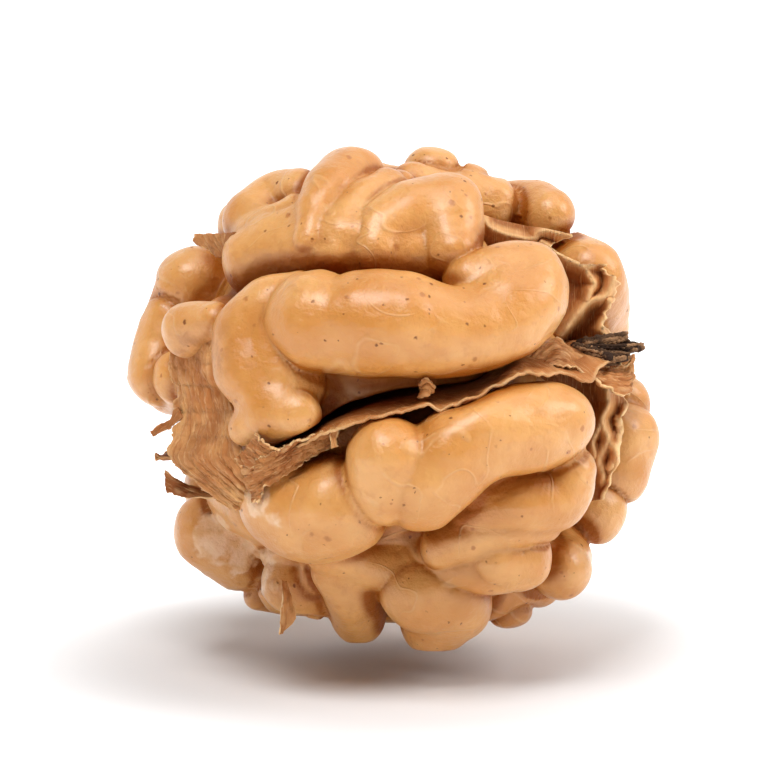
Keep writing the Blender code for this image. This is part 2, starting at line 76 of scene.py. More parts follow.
# The creases between folds, how far off a fold is still felt, and how softly the cuts round off
CREASE_DEPTH = 0.4
CREASE_WIDTH = 0.3
FOLD_REACH = 2.2
FAR_AWAY = 9.0
CUT_SOFTNESS = 0.22

# The flesh is drawn onto its field in rounds: steps, then smoothings.  No step is longer.
ROUNDS = ((2, 4), (2, 4), (3, 1))
LONGEST_STEP = 0.5

# Heights above the skin, and their shares, at which it is asked how open a place is
OPEN_HEIGHTS = ((0.7, 0.45), (2.0, 0.55))

# The slot that the partition's upright wall stands in: its middle away, half width, and the
# across and up that it starts from
WALL_AWAY = -3.4
WALL_SLOT = (0.4, 6.0, -6.5)

# The faces of the envelope: the axis that its depth runs along, and the side
FACES = {
    "left": (0, -1), "right": (0, 1), "front": (1, -1), "back": (1, 1), "under": (2, -1), "crown": (2, 1),
}

# Each fold: its face, its stations and, on some, a shift along that face's depth.  A station
# is a place on the two other axes (across before away before up), the fold's radius there and
# how far its crest stands out of the envelope, which gives the depth.
UPPER_FOLDS = {
    "main_upper": ("front", (
        (-4.4, 4.5, 3.0, 0.9), (-3.0, 4.3, 2.85, 0.8), (-1.5, 4.4, 3.1, 1.1), (0.9, 4.2, 3.0, 1.1),
        (3.3, 3.9, 2.6, 0.8), (5.5, 4.3, 2.6, 0.7), (7.2, 5.7, 2.8, 0.9), (7.6, 6.5, 2.7, 0.9))),
    "curl_left": ("front", (
        (-5.4, 6.0, 1.4, -0.4), (-7.2, 5.3, 1.8, 0.0), (-8.7, 3.6, 1.8, 0.1), (-8.6, 1.7, 1.8, 0.2),
        (-7.6, 0.3, 1.6, 0.0), (-6.6, 0.0, 1.5, -0.3))),
    "curl_inner": ("front", ((-6.8, 3.6, 1.6, -0.5), (-6.5, 1.8, 1.6, -0.6), (-5.2, 0.9, 1.4, -1.6))),
    "curl_foot": ("front", ((-8.3, -1.5, 1.3, -0.2), (-6.9, -0.9, 1.7, 0.0), (-5.4, -0.8, 1.4, -0.3))),
    "knob_arm": ("front", ((7.8, 7.2, 1.9, 0.4), (6.1, 7.3, 1.8, 0.0), (4.4, 7.0, 1.5, -0.6))),
    "upper_floor": ("front", (
        (-8.2, 8.2, 2.0, -0.6), (-6.4, 8.9, 2.4, -0.4), (-4.2, 9.1, 2.5, -0.4), (-1.8, 9.0, 2.5, -0.6),
        (0.6, 8.7, 2.3, -1.0), (2.9, 8.2, 2.0, -1.6))),
    "top_left": ("front", ((-8.1, 10.6, 2.0, 0.1), (-6.9, 11.6, 1.9, 0.0), (-5.6, 11.9, 1.7, -0.2))),
    "top_left_low": ("front", ((-7.7, 9.4, 1.8, -0.6), (-6.4, 10.2, 1.5, -0.5), (-5.7, 10.9, 1.2, -0.5))),
    "top_finger": ("front", (
        (-2.5, 13.1, 2.0, 0.5), (-3.5, 12.2, 1.7, 0.5), (-4.5, 10.9, 1.3, 0.2), (-4.8, 9.4, 1.1, -0.4))),
    "top_pleat": ("front", (
        (-0.4, 12.3, 1.3, -0.3), (-1.9, 11.3, 1.4, -0.2), (-3.0, 9.8, 1.4, -0.5), (-3.3, 8.6, 1.2, -0.9))),
    "top_middle": ("front", (
        (2.9, 11.1, 2.3, 0.6), (1.2, 10.6, 2.2, 0.2), (-0.4, 9.9, 1.8, -0.2), (-1.0, 8.8, 1.6, -0.7))),
    "middle_neck": ("front", ((3.2, 9.9, 2.1, 0.1), (3.4, 8.7, 1.8, -0.4))),
    "top_small": ("front", ((0.3, 12.4, 1.1, 0.0), (-0.1, 11.7, 0.9, 0.0)), 1.5),
    "top_far_a": ("back", ((2.3, 13.2, 2.1, 0.2), (3.5, 12.6, 1.6, 0.0)), -1.0),
    "top_far_b": ("back", ((4.4, 12.2, 2.1, 0.2), (5.4, 11.6, 1.5, 0.0)), -2.5),
    "top_right": ("back", ((7.0, 11.3, 2.0, 0.3), (8.2, 11.3, 2.0, 0.5), (9.3, 11.0, 1.7, 0.4)), -0.4),
    "right_shoulder": ("back", (
        (10.7, 8.3, 2.0, 0.0), (11.8, 7.3, 2.1, 0.0), (12.1, 5.1, 2.2, 0.0), (12.0, 3.4, 1.8, 0.0)), -1.0),
    "left_top": ("back", ((-11.8, 7.1, 2.1, 0.2), (-10.6, 7.5, 1.7, 0.0)), -2.0),
    "left_knob": ("front", ((-11.9, 4.1, 1.7, 0.2), (-10.3, 4.6, 1.2, -0.2))),
    "left_low": ("back", ((-13.9, 1.6, 2.2, 0.3), (-14.1, 3.4, 1.6, 0.3), (-13.3, 4.9, 1.6, 0.0)), -2.5),
    "apex_web": ("front", (
        (-9.9, 4.6, 1.5, -1.5), (-10.7, 3.0, 1.7, -1.3), (-11.0, 0.6, 1.8, -1.4), (-10.8, -1.6, 1.6, -1.2),
        (-10.4, -2.8, 1.3, -1.2)), 2.2),
    "back_upper_main": ("back", (
        (-10.6, 1.2, 2.1, 0.1), (-7.6, 2.4, 2.4, 0.5), (-4.0, 4.6, 2.6, 0.8), (-0.5, 5.8, 2.5, 0.7),
        (2.6, 6.2, 2.3, 0.4))),
    "back_upper_knob": ("back", ((5.4, 7.6, 2.2, 0.4), (8.0, 7.6, 2.4, 0.6), (10.0, 6.4, 2.2, 0.2))),
    "back_upper_left": ("back", ((-9.6, 5.4, 1.9, 0.1), (-8.4, 7.4, 2.0, 0.3), (-6.2, 8.6, 2.0, 0.2))),
    "back_upper_mid": ("back", ((-3.8, 9.0, 1.9, 0.2), (-1.2, 9.8, 2.0, 0.3), (1.4, 10.0, 1.9, 0.2))),
    "back_upper_right": ("back", ((4.2, 10.0, 1.8, 0.1), (6.2, 10.2, 1.8, 0.1))),
    "crown_left": ("crown", ((-8.6, 1.4, 2.0, -0.2), (-8.2, 4.2, 2.1, 0.0), (-6.0, 5.8, 2.0, 0.0))),
    "crown_middle": ("crown", ((-4.6, 2.4, 2.0, -0.5), (-3.2, 4.8, 2.1, -0.3), (-0.8, 5.6, 2.0, -0.3))),
    "crown_arch": ("crown", ((-0.8, 1.8, 1.8, -0.8), (1.6, 4.0, 2.0, -0.5), (3.6, 6.0, 2.0, -0.2))),
    "crown_hollow": ("crown", ((4.6, -6.6, 1.6, -3.4), (6.6, -6.2, 1.6, -3.6), (8.2, -5.6, 1.5, -3.6))),
    "crown_wall": ("crown", ((1.4, -1.6, 1.8, -1.0), (3.6, 0.4, 1.9, -0.8), (6.0, 0.6, 1.9, -0.6))),
    "left_upper_crack": ("left", ((-1.6, 1.4, 1.7, -1.4), (1.4, 0.9, 1.8, -1.0), (4.6, 1.2, 2.0, -0.5))),
    "left_upper_middle": ("left", (
        (0.4, 6.6, 1.9, -0.3), (1.6, 3.8, 2.0, -0.1), (4.6, 4.2, 2.1, 0.0), (6.4, 6.4, 2.0, 0.0))),
    "right_upper_crack": ("right", ((2.8, 4.8, 1.9, -0.7), (5.6, 4.8, 2.1, -0.3), (8.0, 5.0, 2.1, 0.0))),
    "right_upper_back": ("right", ((3.0, 8.2, 1.9, -0.1), (5.6, 8.6, 2.0, 0.0))),
    "crown_right": ("crown", ((5.2, 3.4, 2.0, -0.2), (7.4, 4.4, 2.0, -0.1), (8.8, 2.8, 1.9, -0.2))),
}
LOWER_FOLDS = {
    "main_lower": ("front", (
        (9.1, -1.4, 2.6, 0.6), (6.4, -1.7, 2.6, 0.8), (3.9, -2.7, 2.7, 0.9), (2.1, -4.5, 2.7, 0.9),
        (1.8, -4.9, 2.6, 0.8))),
    "right_cheek": ("front", (
        (10.2, -3.9, 1.6, 0.1), (9.4, -5.5, 2.0, 0.3), (7.7, -5.9, 1.9, -0.1), (6.0, -6.2, 1.6, -0.6),
        (4.6, -6.8, 1.3, -1.2))),
    "knob_lower": ("front", ((-0.3, -3.3, 2.5, 0.9), (-0.5, -4.7, 2.4, 0.6))),
    "big_lower_left": ("front", ((-3.5, -6.2, 3.2, 0.7), (-4.9, -6.3, 3.1, 0.5), (-6.2, -6.0, 2.6, 0.1))),
    "hollow_right": ("front", ((5.0, -5.2, 1.6, -1.3), (7.4, -4.9, 1.8, -1.0))),
    "fan_upper": ("front", (
        (8.4, -6.9, 1.5, -0.3), (6.6, -7.2, 1.6, -0.4), (4.6, -7.7, 1.5, -0.8), (2.8, -8.3, 1.3, -1.4))),
    "fan_lower": ("front", (
        (7.2, -8.8, 1.9, 0.0), (5.7, -9.2, 1.9, -0.2), (4.2, -9.5, 1.5, -0.8), (2.8, -9.7, 1.3, -1.4))),
    "under_floor": ("front", (
        (-3.7, -8.6, 1.5, -1.5), (-1.3, -9.3, 1.7, -2.0), (1.2, -9.4, 1.8, -2.0), (3.0, -9.0, 1.7, -1.7))),
    "small_right": ("front", ((7.4, -9.2, 1.7, 0.2), (5.9, -9.0, 1.5, 0.0))),
    "far_right_low": ("back", ((10.1, -8.0, 1.8, 0.2), (9.9, -9.9, 2.0, 0.2)), -3.0),
    "bottom_behind": ("back", ((6.9, -12.0, 1.7, 0.0), (6.5, -11.2, 1.6, 0.0)), -2.0),
    "front_foot": ("front", ((1.7, -11.1, 2.6, 0.2), (3.3, -11.3, 2.6, 0.3), (2.5, -12.9, 2.2, 0.6))),
    "left_foot": ("front", (
        (-3.3, -10.0, 1.5, -0.2), (-2.5, -11.3, 1.7, 0.1), (-2.1, -12.9, 1.7, 0.2)), 2.2),
    "dark_foot": ("front", ((-4.9, -10.5, 1.4, -0.6), (-4.6, -11.7, 1.4, -0.4)), 3.0),
    "lower_left_lobe": ("back", (
        (-10.8, -8.0, 2.4, 0.2), (-8.9, -9.4, 2.3, 0.0), (-7.9, -10.1, 1.8, 0.0)), -1.5),
    "under_left": ("back", ((-7.9, -11.3, 1.4, 0.0), (-6.6, -11.5, 1.5, 0.0)), -1.0),
    "right_lower_lobe": ("back", ((13.5, -2.2, 2.5, 0.2), (13.0, -4.2, 2.5, 0.2)), 0.2),
    "back_lower_main": ("back", (
        (-10.6, -5.4, 2.2, -0.6), (-8.0, -4.2, 2.3, 0.3), (-4.6, -2.4, 2.5, 0.7), (-1.2, -1.0, 2.6, 0.8),
        (2.4, -0.2, 2.5, 0.6))),
    "back_lower_knob": ("back", ((5.0, 0.6, 2.4, 0.5), (8.0, 0.8, 2.5, 0.6), (10.2, -1.4, 2.4, 0.3))),
    "back_lower_left": ("back", ((-9.6, -7.2, 2.1, 0.2), (-7.0, -7.0, 2.3, 0.4), (-4.4, -5.6, 2.2, 0.3))),
    "back_lower_mid": ("back", ((-2.2, -7.6, 2.1, 0.2), (0.2, -5.4, 2.3, 0.4), (2.8, -4.2, 2.2, 0.3))),
    "back_lower_right": ("back", ((4.2, -7.6, 2.1, 0.2), (6.6, -5.8, 2.2, 0.4), (8.8, -6.2, 2.0, 0.2))),
    "back_lower_heel": ("back", ((-5.4, -10.2, 1.9, 0.1), (-2.8, -10.8, 2.0, 0.1), (0.4, -9.8, 2.0, 0.1))),
    "under_back": ("under", ((-7.4, 5.8, 2.1, 0.1), (-4.0, 6.4, 2.3, 0.3), (-0.6, 7.4, 2.2, 0.1))),
    "under_heel": ("under", ((2.8, 7.2, 2.2, 0.3), (5.8, 5.8, 2.2, 0.2), (8.2, 3.6, 2.0, 0.0))),
    "under_middle": ("under", (
        (-6.6, 1.4, 2.0, -0.8), (-3.4, 0.8, 2.2, -1.7), (-0.2, 2.6, 2.2, -1.5), (3.2, 2.4, 2.1, -1.2))),
    "under_front": ("under", ((-5.6, -2.6, 2.0, -1.0), (-2.6, -1.6, 1.8, -2.0), (0.6, -0.8, 1.8, -2.2))),
    "under_right": ("under", ((4.0, -1.0, 2.0, -1.6), (6.2, -1.8, 2.0, -0.8), (8.2, -0.4, 2.0, -0.3))),
    "left_lower_crack": ("left", (
        (-3.6, -6.2, 1.8, -3.0), (-0.5, -6.0, 2.0, -3.0), (3.0, -5.8, 2.1, -2.8), (6.4, -5.6, 2.1, -2.2))),
    "left_lower_back": ("left", ((2.6, -8.8, 2.1, 0.0), (5.6, -8.6, 2.1, 0.0))),
    "right_lower_back": ("right", ((3.4, -0.4, 2.1, 0.0), (6.4, -0.2, 2.3, 0.2), (7.6, -3.0, 2.2, 0.1))),
    "right_lower_middle": ("right", (
        (0.6, -6.8, 2.0, -0.2), (3.6, -5.2, 2.2, 0.0), (4.8, -7.8, 2.1, 0.0))),
    "right_lower_front": ("right", (
        (-6.0, -4.0, 1.6, -1.6), (-5.4, -6.4, 1.7, -2.2), (-2.6, -8.4, 1.9, -2.0))),
}

# Folds that run into another one with no crease between the two
KIN = {
    "knob_arm": "main_upper", "curl_inner": "curl_left", "curl_foot": "curl_left",
    "middle_neck": "top_middle", "top_left_low": "top_left", "top_pleat": "upper_floor",
    "hollow_right": "right_cheek", "left_top": "left_low", "right_lower_front": "right_lower_lobe",
    "fan_upper": "under_floor", "left_foot": "under_floor", "crown_right": "top_right",
}

# How firm a fold's creases are, for those that are not 1: the crease takes the softer one's
FIRMNESS = {
    "knob_lower": 0.3, "top_left": 0.5, "top_finger": 0.6, "upper_floor": 0.4, "under_floor": 0.35,
    "curl_left": 0.5, "right_cheek": 0.7, "fan_lower": 0.5, "apex_web": 0.3, "top_middle": 0.7,
    "left_knob": 0.5,
}


# Routes, surfaces and fields


def route(stations, steps):
    """Catmull-Rom curve through the stations, with every column smoothed alike."""
    points = np.asarray(stations, float)
    points = np.vstack((2 * points[0] - points[1], points, 2 * points[-1] - points[-2]))
    before, start, end, after = (points[k:len(points) - 3 + k][:, None, :] for k in range(4))
    t = (np.arange(steps) / steps)[None, :, None]
    rows = 0.5 * (2 * start + (end - before) * t + (2 * before - 5 * start + 4 * end - after) * t ** 2
                  + (3 * start - before - 3 * end + after) * t ** 3)
    return np.vstack((rows.reshape(-1, points.shape[1]), points[-2]))


def resample(line, rows):
    """The line's numbers at this many even steps along its points."""
    pick = np.linspace(0, len(line) - 1, rows)
    return np.stack([np.interp(pick, np.arange(len(line)), column) for column in line.T], axis=1)


def fold_route(face, stations, shift=0.0, steps=7):
    """Centres and radii along a fold; the depth puts each crest on the envelope plus its lift."""
    axis, side = FACES[face]
    known = [k for k in range(3) if k != axis]
    rows = np.asarray(stations, float)
    half = ENVELOPE - rows[:, 2:3] + rows[:, 3:4]
    rest = 1 - (rows[:, 0] / half[:, known[0]]) ** 2 - (rows[:, 1] / half[:, known[1]]) ** 2
    centre = np.empty((len(rows), 4))
    centre[:, known] = rows[:, :2]
    centre[:, axis] = side * half[:, axis] * np.sqrt(np.maximum(rest, 0)) + shift
    centre[:, 3] = rows[:, 2]
    return route(centre, steps)


def crack_height(across, away):
    """Height of the crack's middle surface: the front line, rising towards the back."""
    line = route(CRACK, 16)
    return np.interp(across, line[:, 0], line[:, 1]) + CRACK_RISE * (away - CRACK_FRONT)


def smoothstep(low, high, value):
    t = np.clip((value - low) / (high - low), 0, 1)
    return t * t * (3 - 2 * t)


def value_noise(points, cell, seed):
    """Smooth random values between -1 and 1 on a lattice of this cell size, in three dimensions."""
    table = np.random.RandomState(seed).uniform(-1, 1, (32, 32, 32))
    place = np.asarray(points) / cell
    corner = np.floor(place).astype(int)
    part = place - corner
    part = part * part * part * (part * (part * 6 - 15) + 10)
    total = 0.0
    for steps in np.ndindex(2, 2, 2):
        weight = 1.0
        for axis, step in enumerate(steps):
            weight = weight * (part[..., axis] if step else 1 - part[..., axis])
        i, j, k = ((corner[..., axis] + step) % 32 for axis, step in enumerate(steps))
        total = total + weight * table[i, j, k]
    return total


def rough_noise(points, cell, seed, layers=3):
    """Value noise summed over layers, each half the size and half the height of the last."""
    return sum(value_noise(points, cell / 2 ** k, seed + k) / 2 ** k for k in range(layers))


def line_noise(points, cell, seed):
    """Thin raised lines, 1 on the line and 0 away from it, where a smooth noise crosses zero."""
    return np.exp(-(np.abs(value_noise(points, cell, seed)) / 0.06) ** 1.2)


def grid_faces(rows, columns, closed=False):
    """Quads of a grid of rows by columns points, closed round the columns if asked."""
    last = columns if closed else columns - 1
    row, column = np.meshgrid(np.arange(rows - 1), np.arange(last), indexing="ij")
    across = (column + 1) % columns
    quads = np.stack((row * columns + column, row * columns + across,
                      (row + 1) * columns + across, (row + 1) * columns + column), axis=-1)
    return quads.reshape(-1, 4)


def tube(path, sides=20, cap=6):
    """A circle carried along the centres and radii of a path, closed by a ball at each end.

    Each ring is centre + radius * (normal * cos t + binormal * sin t); the end rings step back
    along the tangent by radius * sin and shrink by cos, which rounds the end."""
    centre, radius = path[:, :3], path[:, 3]
    tangent = np.gradient(centre, axis=0)
    tangent /= np.linalg.norm(tangent, axis=1, keepdims=True)
    lift = np.linspace(math.pi / 2 * 0.98, 0, cap, endpoint=False)
    first = centre[0] - tangent[0] * (radius[0] * np.sin(lift))[:, None]
    final = centre[-1] + tangent[-1] * (radius[-1] * np.sin(lift[::-1]))[:, None]
    rings = np.vstack((first, centre, final))
    size = np.concatenate((radius[0] * np.cos(lift), radius, radius[-1] * np.cos(lift[::-1])))
    along = np.vstack((np.repeat(tangent[:1], cap, 0), tangent, np.repeat(tangent[-1:], cap, 0)))
    normal = np.empty_like(along)
    normal[0] = np.cross(along[0], np.eye(3)[np.argmin(np.abs(along[0]))])
    for k in range(1, len(along)):
        normal[k] = normal[k - 1] - along[k] * normal[k - 1].dot(along[k])
        normal[k] /= np.linalg.norm(normal[k])
    normal[0] /= np.linalg.norm(normal[0])
    binormal = np.cross(along, normal)
    turn = np.arange(sides) / sides * 2 * math.pi
    points = (rings[:, None] + size[:, None, None] * (normal[:, None] * np.cos(turn)[None, :, None]
                                                      + binormal[:, None] * np.sin(turn)[None, :, None]))
    count = len(rings)
    faces = [tuple(quad) for quad in grid_faces(count, sides, closed=True)]
    faces.append(tuple(range(sides))[::-1])
    faces.append(tuple(range((count - 1) * sides, count * sides)))
    return points.reshape(-1, 3), faces


def joined(surfaces):
    """Several surfaces of points and faces as one list of each."""
    points, faces, offset = [], [], 0
    for some_points, some_faces in surfaces:
        points.append(some_points)
        faces += [tuple(int(k) + offset for k in face) for face in some_faces]
        offset += len(some_points)
    return np.vstack(points), faces


def lay_down(points):
    """Kernel axes in millimetres to the parts' frame in metres: tipped forward and stood up."""
    across, away, up = np.asarray(points, float).T
    cos, sin = math.cos(REST_TIP), math.sin(REST_TIP)
    return np.stack((across, away * cos + up * sin + MIDDLE_SHIFT,
                     up * cos - away * sin + MIDDLE_HEIGHT), axis=1) * MM


def new_mesh(name, points, faces):
    mesh = bpy.data.meshes.new(name)
    mesh.from_pydata(points.tolist(), [], [tuple(int(k) for k in face) for face in faces])
    return mesh


def new_object(name, points, faces):
    thing = bpy.data.objects.new(name, new_mesh(name, points, faces))
    bpy.context.scene.collection.objects.link(thing)
    return thing


def apply_modifiers(thing):
    bpy.context.view_layer.update()
    mesh = bpy.data.meshes.new_from_object(thing.evaluated_get(bpy.context.evaluated_depsgraph_get()))
    thing.modifiers.clear()
    old = thing.data
    thing.data = mesh
    bpy.data.meshes.remove(old)


def read_numbers(items, name, width=1, kind=float):
    """One property of a mesh's items as an array, with this many numbers for each item."""
    values = np.empty(len(items) * width, kind)
    items.foreach_get(name, values)
    return values.reshape(-1, width) if width > 1 else values


def read_points(mesh):
    return read_numbers(mesh.vertices, "co", 3)


def write_points(mesh, points):
    mesh.vertices.foreach_set("co", np.asarray(points, float).ravel())
    mesh.update()


def write_value(mesh, name, values):
    """A number for each point of a mesh, for its material to read."""
    layer = mesh.attributes.get(name) or mesh.attributes.new(name, "FLOAT", "POINT")
    layer.data.foreach_set("value", np.asarray(values, np.float32))


def finish_piece(thing, node, material):
    """Shade, dress and hand over a finished piece: it rides on the body and replaces its node."""
    thing.data.materials.clear()
    thing.data.materials.append(material)
    thing.data.shade_smooth()
    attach(thing, "root")
    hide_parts(node)


# The flesh


def fold_field(points, path):
    """Distance from points to a fold, and its direction: the nearest segment less its radius."""
    start, end = path[:-1], path[1:]
    line = end[:, :3] - start[:, :3]
    reach = np.einsum("ij,ij->i", line, line)
    offset = points[:, None, :] - start[None, :, :3]
    t = np.clip(np.einsum("mij,ij->mi", offset, line) / reach, 0, 1)
    away = offset - t[..., None] * line
    length = np.linalg.norm(away, axis=2) + 1e-9
    distance = length - (start[:, 3] + t * (end[:, 3] - start[:, 3]))
    best = np.argmin(distance, axis=1)
    rows = np.arange(len(points))
    return distance[rows, best], away[rows, best] / length[rows, best, None]


class HalfField:
    """The flesh of one half as a distance field: folds and core blended softly, cut at the crack.

    Where two folds meet, the surface sinks to a crease: depth * exp(-aside / width), with the
    distance aside of the meeting line taken from the two folds' distances and directions."""

    def __init__(self, folds, side, blend, gap):
        self.paths = [(KIN.get(name, name), fold_route(*fold)) for name, fold in folds.items()]
        self.firm = {name: FIRMNESS.get(name, 1.0) for name, _ in self.paths}
        self.side = side
        self.blend = blend
        self.gap = gap

    def __call__(self, points):
        """Distance and direction: minus blend times the log of the summed exp(-distance / blend)."""
        blend = self.blend * (1 + 0.5 * value_noise(points, 6.0, 11))
        from_core = (points - CORE_CENTRE) / CORE_HALF
        unit = np.linalg.norm(from_core, axis=1) + 1e-9
        slope = from_core / CORE_HALF
        steep = np.linalg.norm(slope, axis=1) + 1e-9
        distance = unit * (unit - 1) / steep
        weight = np.exp(-np.clip(distance / blend, -30, 30))
        total, lean = weight.copy(), weight[:, None] * slope / steep[:, None]
        first, second = np.full((2, len(points)), FAR_AWAY)
        toward, other = np.zeros((2, len(points), 3))
        owner = np.full(len(points), "", dtype="U24")
        firm, soft = np.ones((2, len(points)))
        for name, path in self.paths:
            low = path[:, :3].min(0) - path[:, 3].max() - FOLD_REACH
            high = path[:, :3].max(0) + path[:, 3].max() + FOLD_REACH
            near = np.flatnonzero(np.all((points > low) & (points < high), axis=1))
            if len(near) == 0:
                continue
            distance, direction = fold_field(points[near], path)
            weight = np.exp(-np.clip(distance / blend[near], -30, 30))
            total[near] += weight
            lean[near] += weight[:, None] * direction
            kin = owner[near] == name
            closer = distance < first[near]
            pushed = near[closer & ~kin]
            second[pushed], other[pushed], soft[pushed] = first[pushed], toward[pushed], firm[pushed]
            first[near[closer]], toward[near[closer]] = distance[closer], direction[closer]
            owner[near[closer]], firm[near[closer]] = name, self.firm[name]
            behind = ~closer & ~kin & (distance < second[near])
            second[near[behind]], other[near[behind]] = distance[behind], direction[behind]
            soft[near[behind]] = self.firm[name]
        bend = np.linalg.norm(toward - other, axis=1)
        aside = (second - first) / np.maximum(bend, 0.2)
        self.crease = (smoothstep(0.15, 0.7, bend) * np.exp(-aside / CREASE_WIDTH) * (second < FAR_AWAY)
                       * np.minimum(firm, soft))
        field = CREASE_DEPTH * self.crease - blend * np.log(total)
        lean /= total[:, None]
        for cut, direction in (self.crack_cut(points), self.wall_cut(points)):
            past = (field - cut) / CUT_SOFTNESS
            share = 1 / (1 + np.exp(np.clip(past, -30, 30)))
            field = np.maximum(field, cut) + CUT_SOFTNESS * np.log1p(np.exp(-np.abs(past)))
            lean = lean + share[:, None] * (direction - lean)
        return field, lean

    def crack_cut(self, points):
        """Positive on the far side of the crack, except in the isthmus."""
        step = 0.05
        height = crack_height(points[:, 0], points[:, 1])
        slope = (crack_height(points[:, 0] + step, points[:, 1]) - height) / step
        direction = np.stack((slope, np.full(len(points), CRACK_RISE), -np.ones(len(points))), axis=1)
        direction *= self.side
        cut = self.side * (height - points[:, 2]) + self.gap
        across, away, radius = ISTHMUS
        outside = np.hypot(points[:, 0] - across, points[:, 1] - away) - radius
        return np.minimum(cut, outside), direction / np.linalg.norm(direction, axis=1, keepdims=True)

    def wall_cut(self, points):
        """Positive inside the slot that the upright wall of the partition stands in."""
        half, across, up = WALL_SLOT
        beside = points[:, 1] - WALL_AWAY
        cut = np.minimum(half - np.abs(beside), np.minimum(points[:, 0] - across, points[:, 2] - up))
        direction = np.zeros_like(points)
        direction[:, 1] = -np.sign(beside)
        return cut, direction


def core_dome(side):
    """Half of the core: the ellipsoid over a disc of polar points, closed along the crack.

    The isthmus part of the underside reaches past the crack, into the other half."""
    rings, spokes = 40, 96
    turn = np.arange(spokes) / spokes * 2 * math.pi
    out = np.sin(np.linspace(0.02, math.pi / 2, rings))
    across = CORE_CENTRE[0] + CORE_HALF[0] * out[:, None] * np.cos(turn)
    away = CORE_CENTRE[1] + CORE_HALF[1] * out[:, None] * np.sin(turn)
    floor = crack_height(across, away)
    rise = CORE_HALF[2] * np.sqrt(np.maximum(1 - out[:, None] ** 2, 0)) * np.ones(spokes)
    dome = floor + side * np.maximum(side * (side * rise - floor), 0.15)
    reach = smoothstep(5.2, 4.2, np.hypot(across - ISTHMUS[0], away - ISTHMUS[1]))
    floor = floor - side * 2.0 * reach
    top = np.stack((across, away, dome), axis=-1).reshape(-1, 3)
    base = np.stack((across, away, floor), axis=-1).reshape(-1, 3)
    faces = [tuple(quad) for quad in grid_faces(rings, spokes, closed=True)]
    below = [tuple(k + len(top) for k in quad[::-1]) for quad in faces]
    rim = (rings - 1) * spokes
    skirt = [(rim + k, rim + (k + 1) % spokes, len(top) + rim + (k + 1) % spokes, len(top) + rim + k)
             for k in range(spokes)]
    caps = [tuple(range(spokes))[::-1], tuple(range(len(top), len(top) + spokes))]
    faces = faces + below + skirt + caps
    if side < 0:
        faces = [face[::-1] for face in faces]
    return np.vstack((top, base)), faces


def largest_body(thing):
    """Drop all but the largest connected body: fills sealed pockets and drops scraps."""
    mesh = thing.data
    edges = read_numbers(mesh.edges, "vertices", 2, int)
    label = np.arange(len(mesh.vertices))
    while True:
        low = np.minimum(label[edges[:, 0]], label[edges[:, 1]])
        fresh = label.copy()
        np.minimum.at(fresh, edges[:, 0], low)
        np.minimum.at(fresh, edges[:, 1], low)
        fresh = fresh[fresh]
        if np.array_equal(fresh, label):
            break
        label = fresh
    names, sizes = np.unique(label, return_counts=True)
    keep = label == names[np.argmax(sizes)]
    loops = read_numbers(mesh.loops, "vertex_index", 1, int)
    starts, totals = (read_numbers(mesh.polygons, name, 1, int) for name in ("loop_start", "loop_total"))
    number = np.cumsum(keep) - 1
    faces = [tuple(number[loops[s:s + n]]) for s, n in zip(starts, totals) if keep[loops[s]]]
    thing.data = new_mesh(mesh.name, read_points(mesh)[keep], faces)
    bpy.data.meshes.remove(mesh)


def build_half(name, folds, side, settings, both):
    """One half of the flesh: tubes and core merged by a voxel remesh, drawn onto the blended
    field, then roughened and given the values that its skin reads."""
    tubes = [tube(fold_route(*fold)) for fold in folds.values()]
    thing = new_object(name, *joined([*tubes, core_dome(side)]))
    remesh = thing.modifiers.new("merge", "REMESH")
    remesh.mode = "VOXEL"
    remesh.voxel_size = settings.fineness
    apply_modifiers(thing)
    largest_body(thing)
    points = read_points(thing.data)
    own = both[0] if side > 0 else both[1]
    # Inside the isthmus the two halves run into each other, so its points stay where they are
    deep = np.hypot(points[:, 0] - ISTHMUS[0], points[:, 1] - ISTHMUS[1]) < ISTHMUS[2] - 0.8
    for steps, smoothings in ROUNDS:
        for _ in range(steps):
            field, lean = own(points)
            steep = np.maximum(np.einsum("ij,ij->i", lean, lean), 0.35)
            move = -(field / steep)[:, None] * lean
            length = np.linalg.norm(move, axis=1, keepdims=True)
            move *= np.minimum(1, LONGEST_STEP / np.maximum(length, 1e-9))
            move[deep & (np.abs(field) > 0.8)] = 0
            points = points + move
        write_points(thing.data, points)
        soften = thing.modifiers.new("soften", "SMOOTH")
        soften.factor = 0.5
        soften.iterations = smoothings
        apply_modifiers(thing)
        points = read_points(thing.data)
    normals = read_numbers(thing.data.vertex_normals, "vector", 3)
    own(points)
    write_value(thing.data, "crease", own.crease)
    hollow = openness(points, normals, both)
    scar = scar_share(points)
    points = points + normals * relief(points, hollow, scar)[:, None]
    for label, values in (("hollow", hollow), ("scar", scar), ("web", web_share(points))):
        write_value(thing.data, label, values)
    points = lay_down(points)
    points[:, 2] = np.maximum(points[:, 2], FLOOR_GAP * MM)
    write_points(thing.data, points)
    return thing


def openness(points, normals, both):
    """How shut in each point is, 0 in the open to 1 in a deep groove: the missing distance to
    the flesh at two heights above the surface."""
    shut = 0.0
    for height, share in OPEN_HEIGHTS:
        above = points + normals * height
        near = np.minimum(both[0](above)[0], both[1](above)[0])
        shut = shut + share * np.clip(1 - near / height, 0, 1.3)
    return np.clip(shut, 0, 1)


def web_share(points):
    """The fibrous skin round the pointed end: 1 in its middle, 0 away from it."""
    across, away, up = points.T
    middle = smoothstep(-13.9, -12.4, across) * smoothstep(-8.6, -10.2, across)
    height = smoothstep(-6.5, -4.5, up) * smoothstep(5.4, 3.2, up)
    return middle * height * smoothstep(-2.5, -5.5, away)


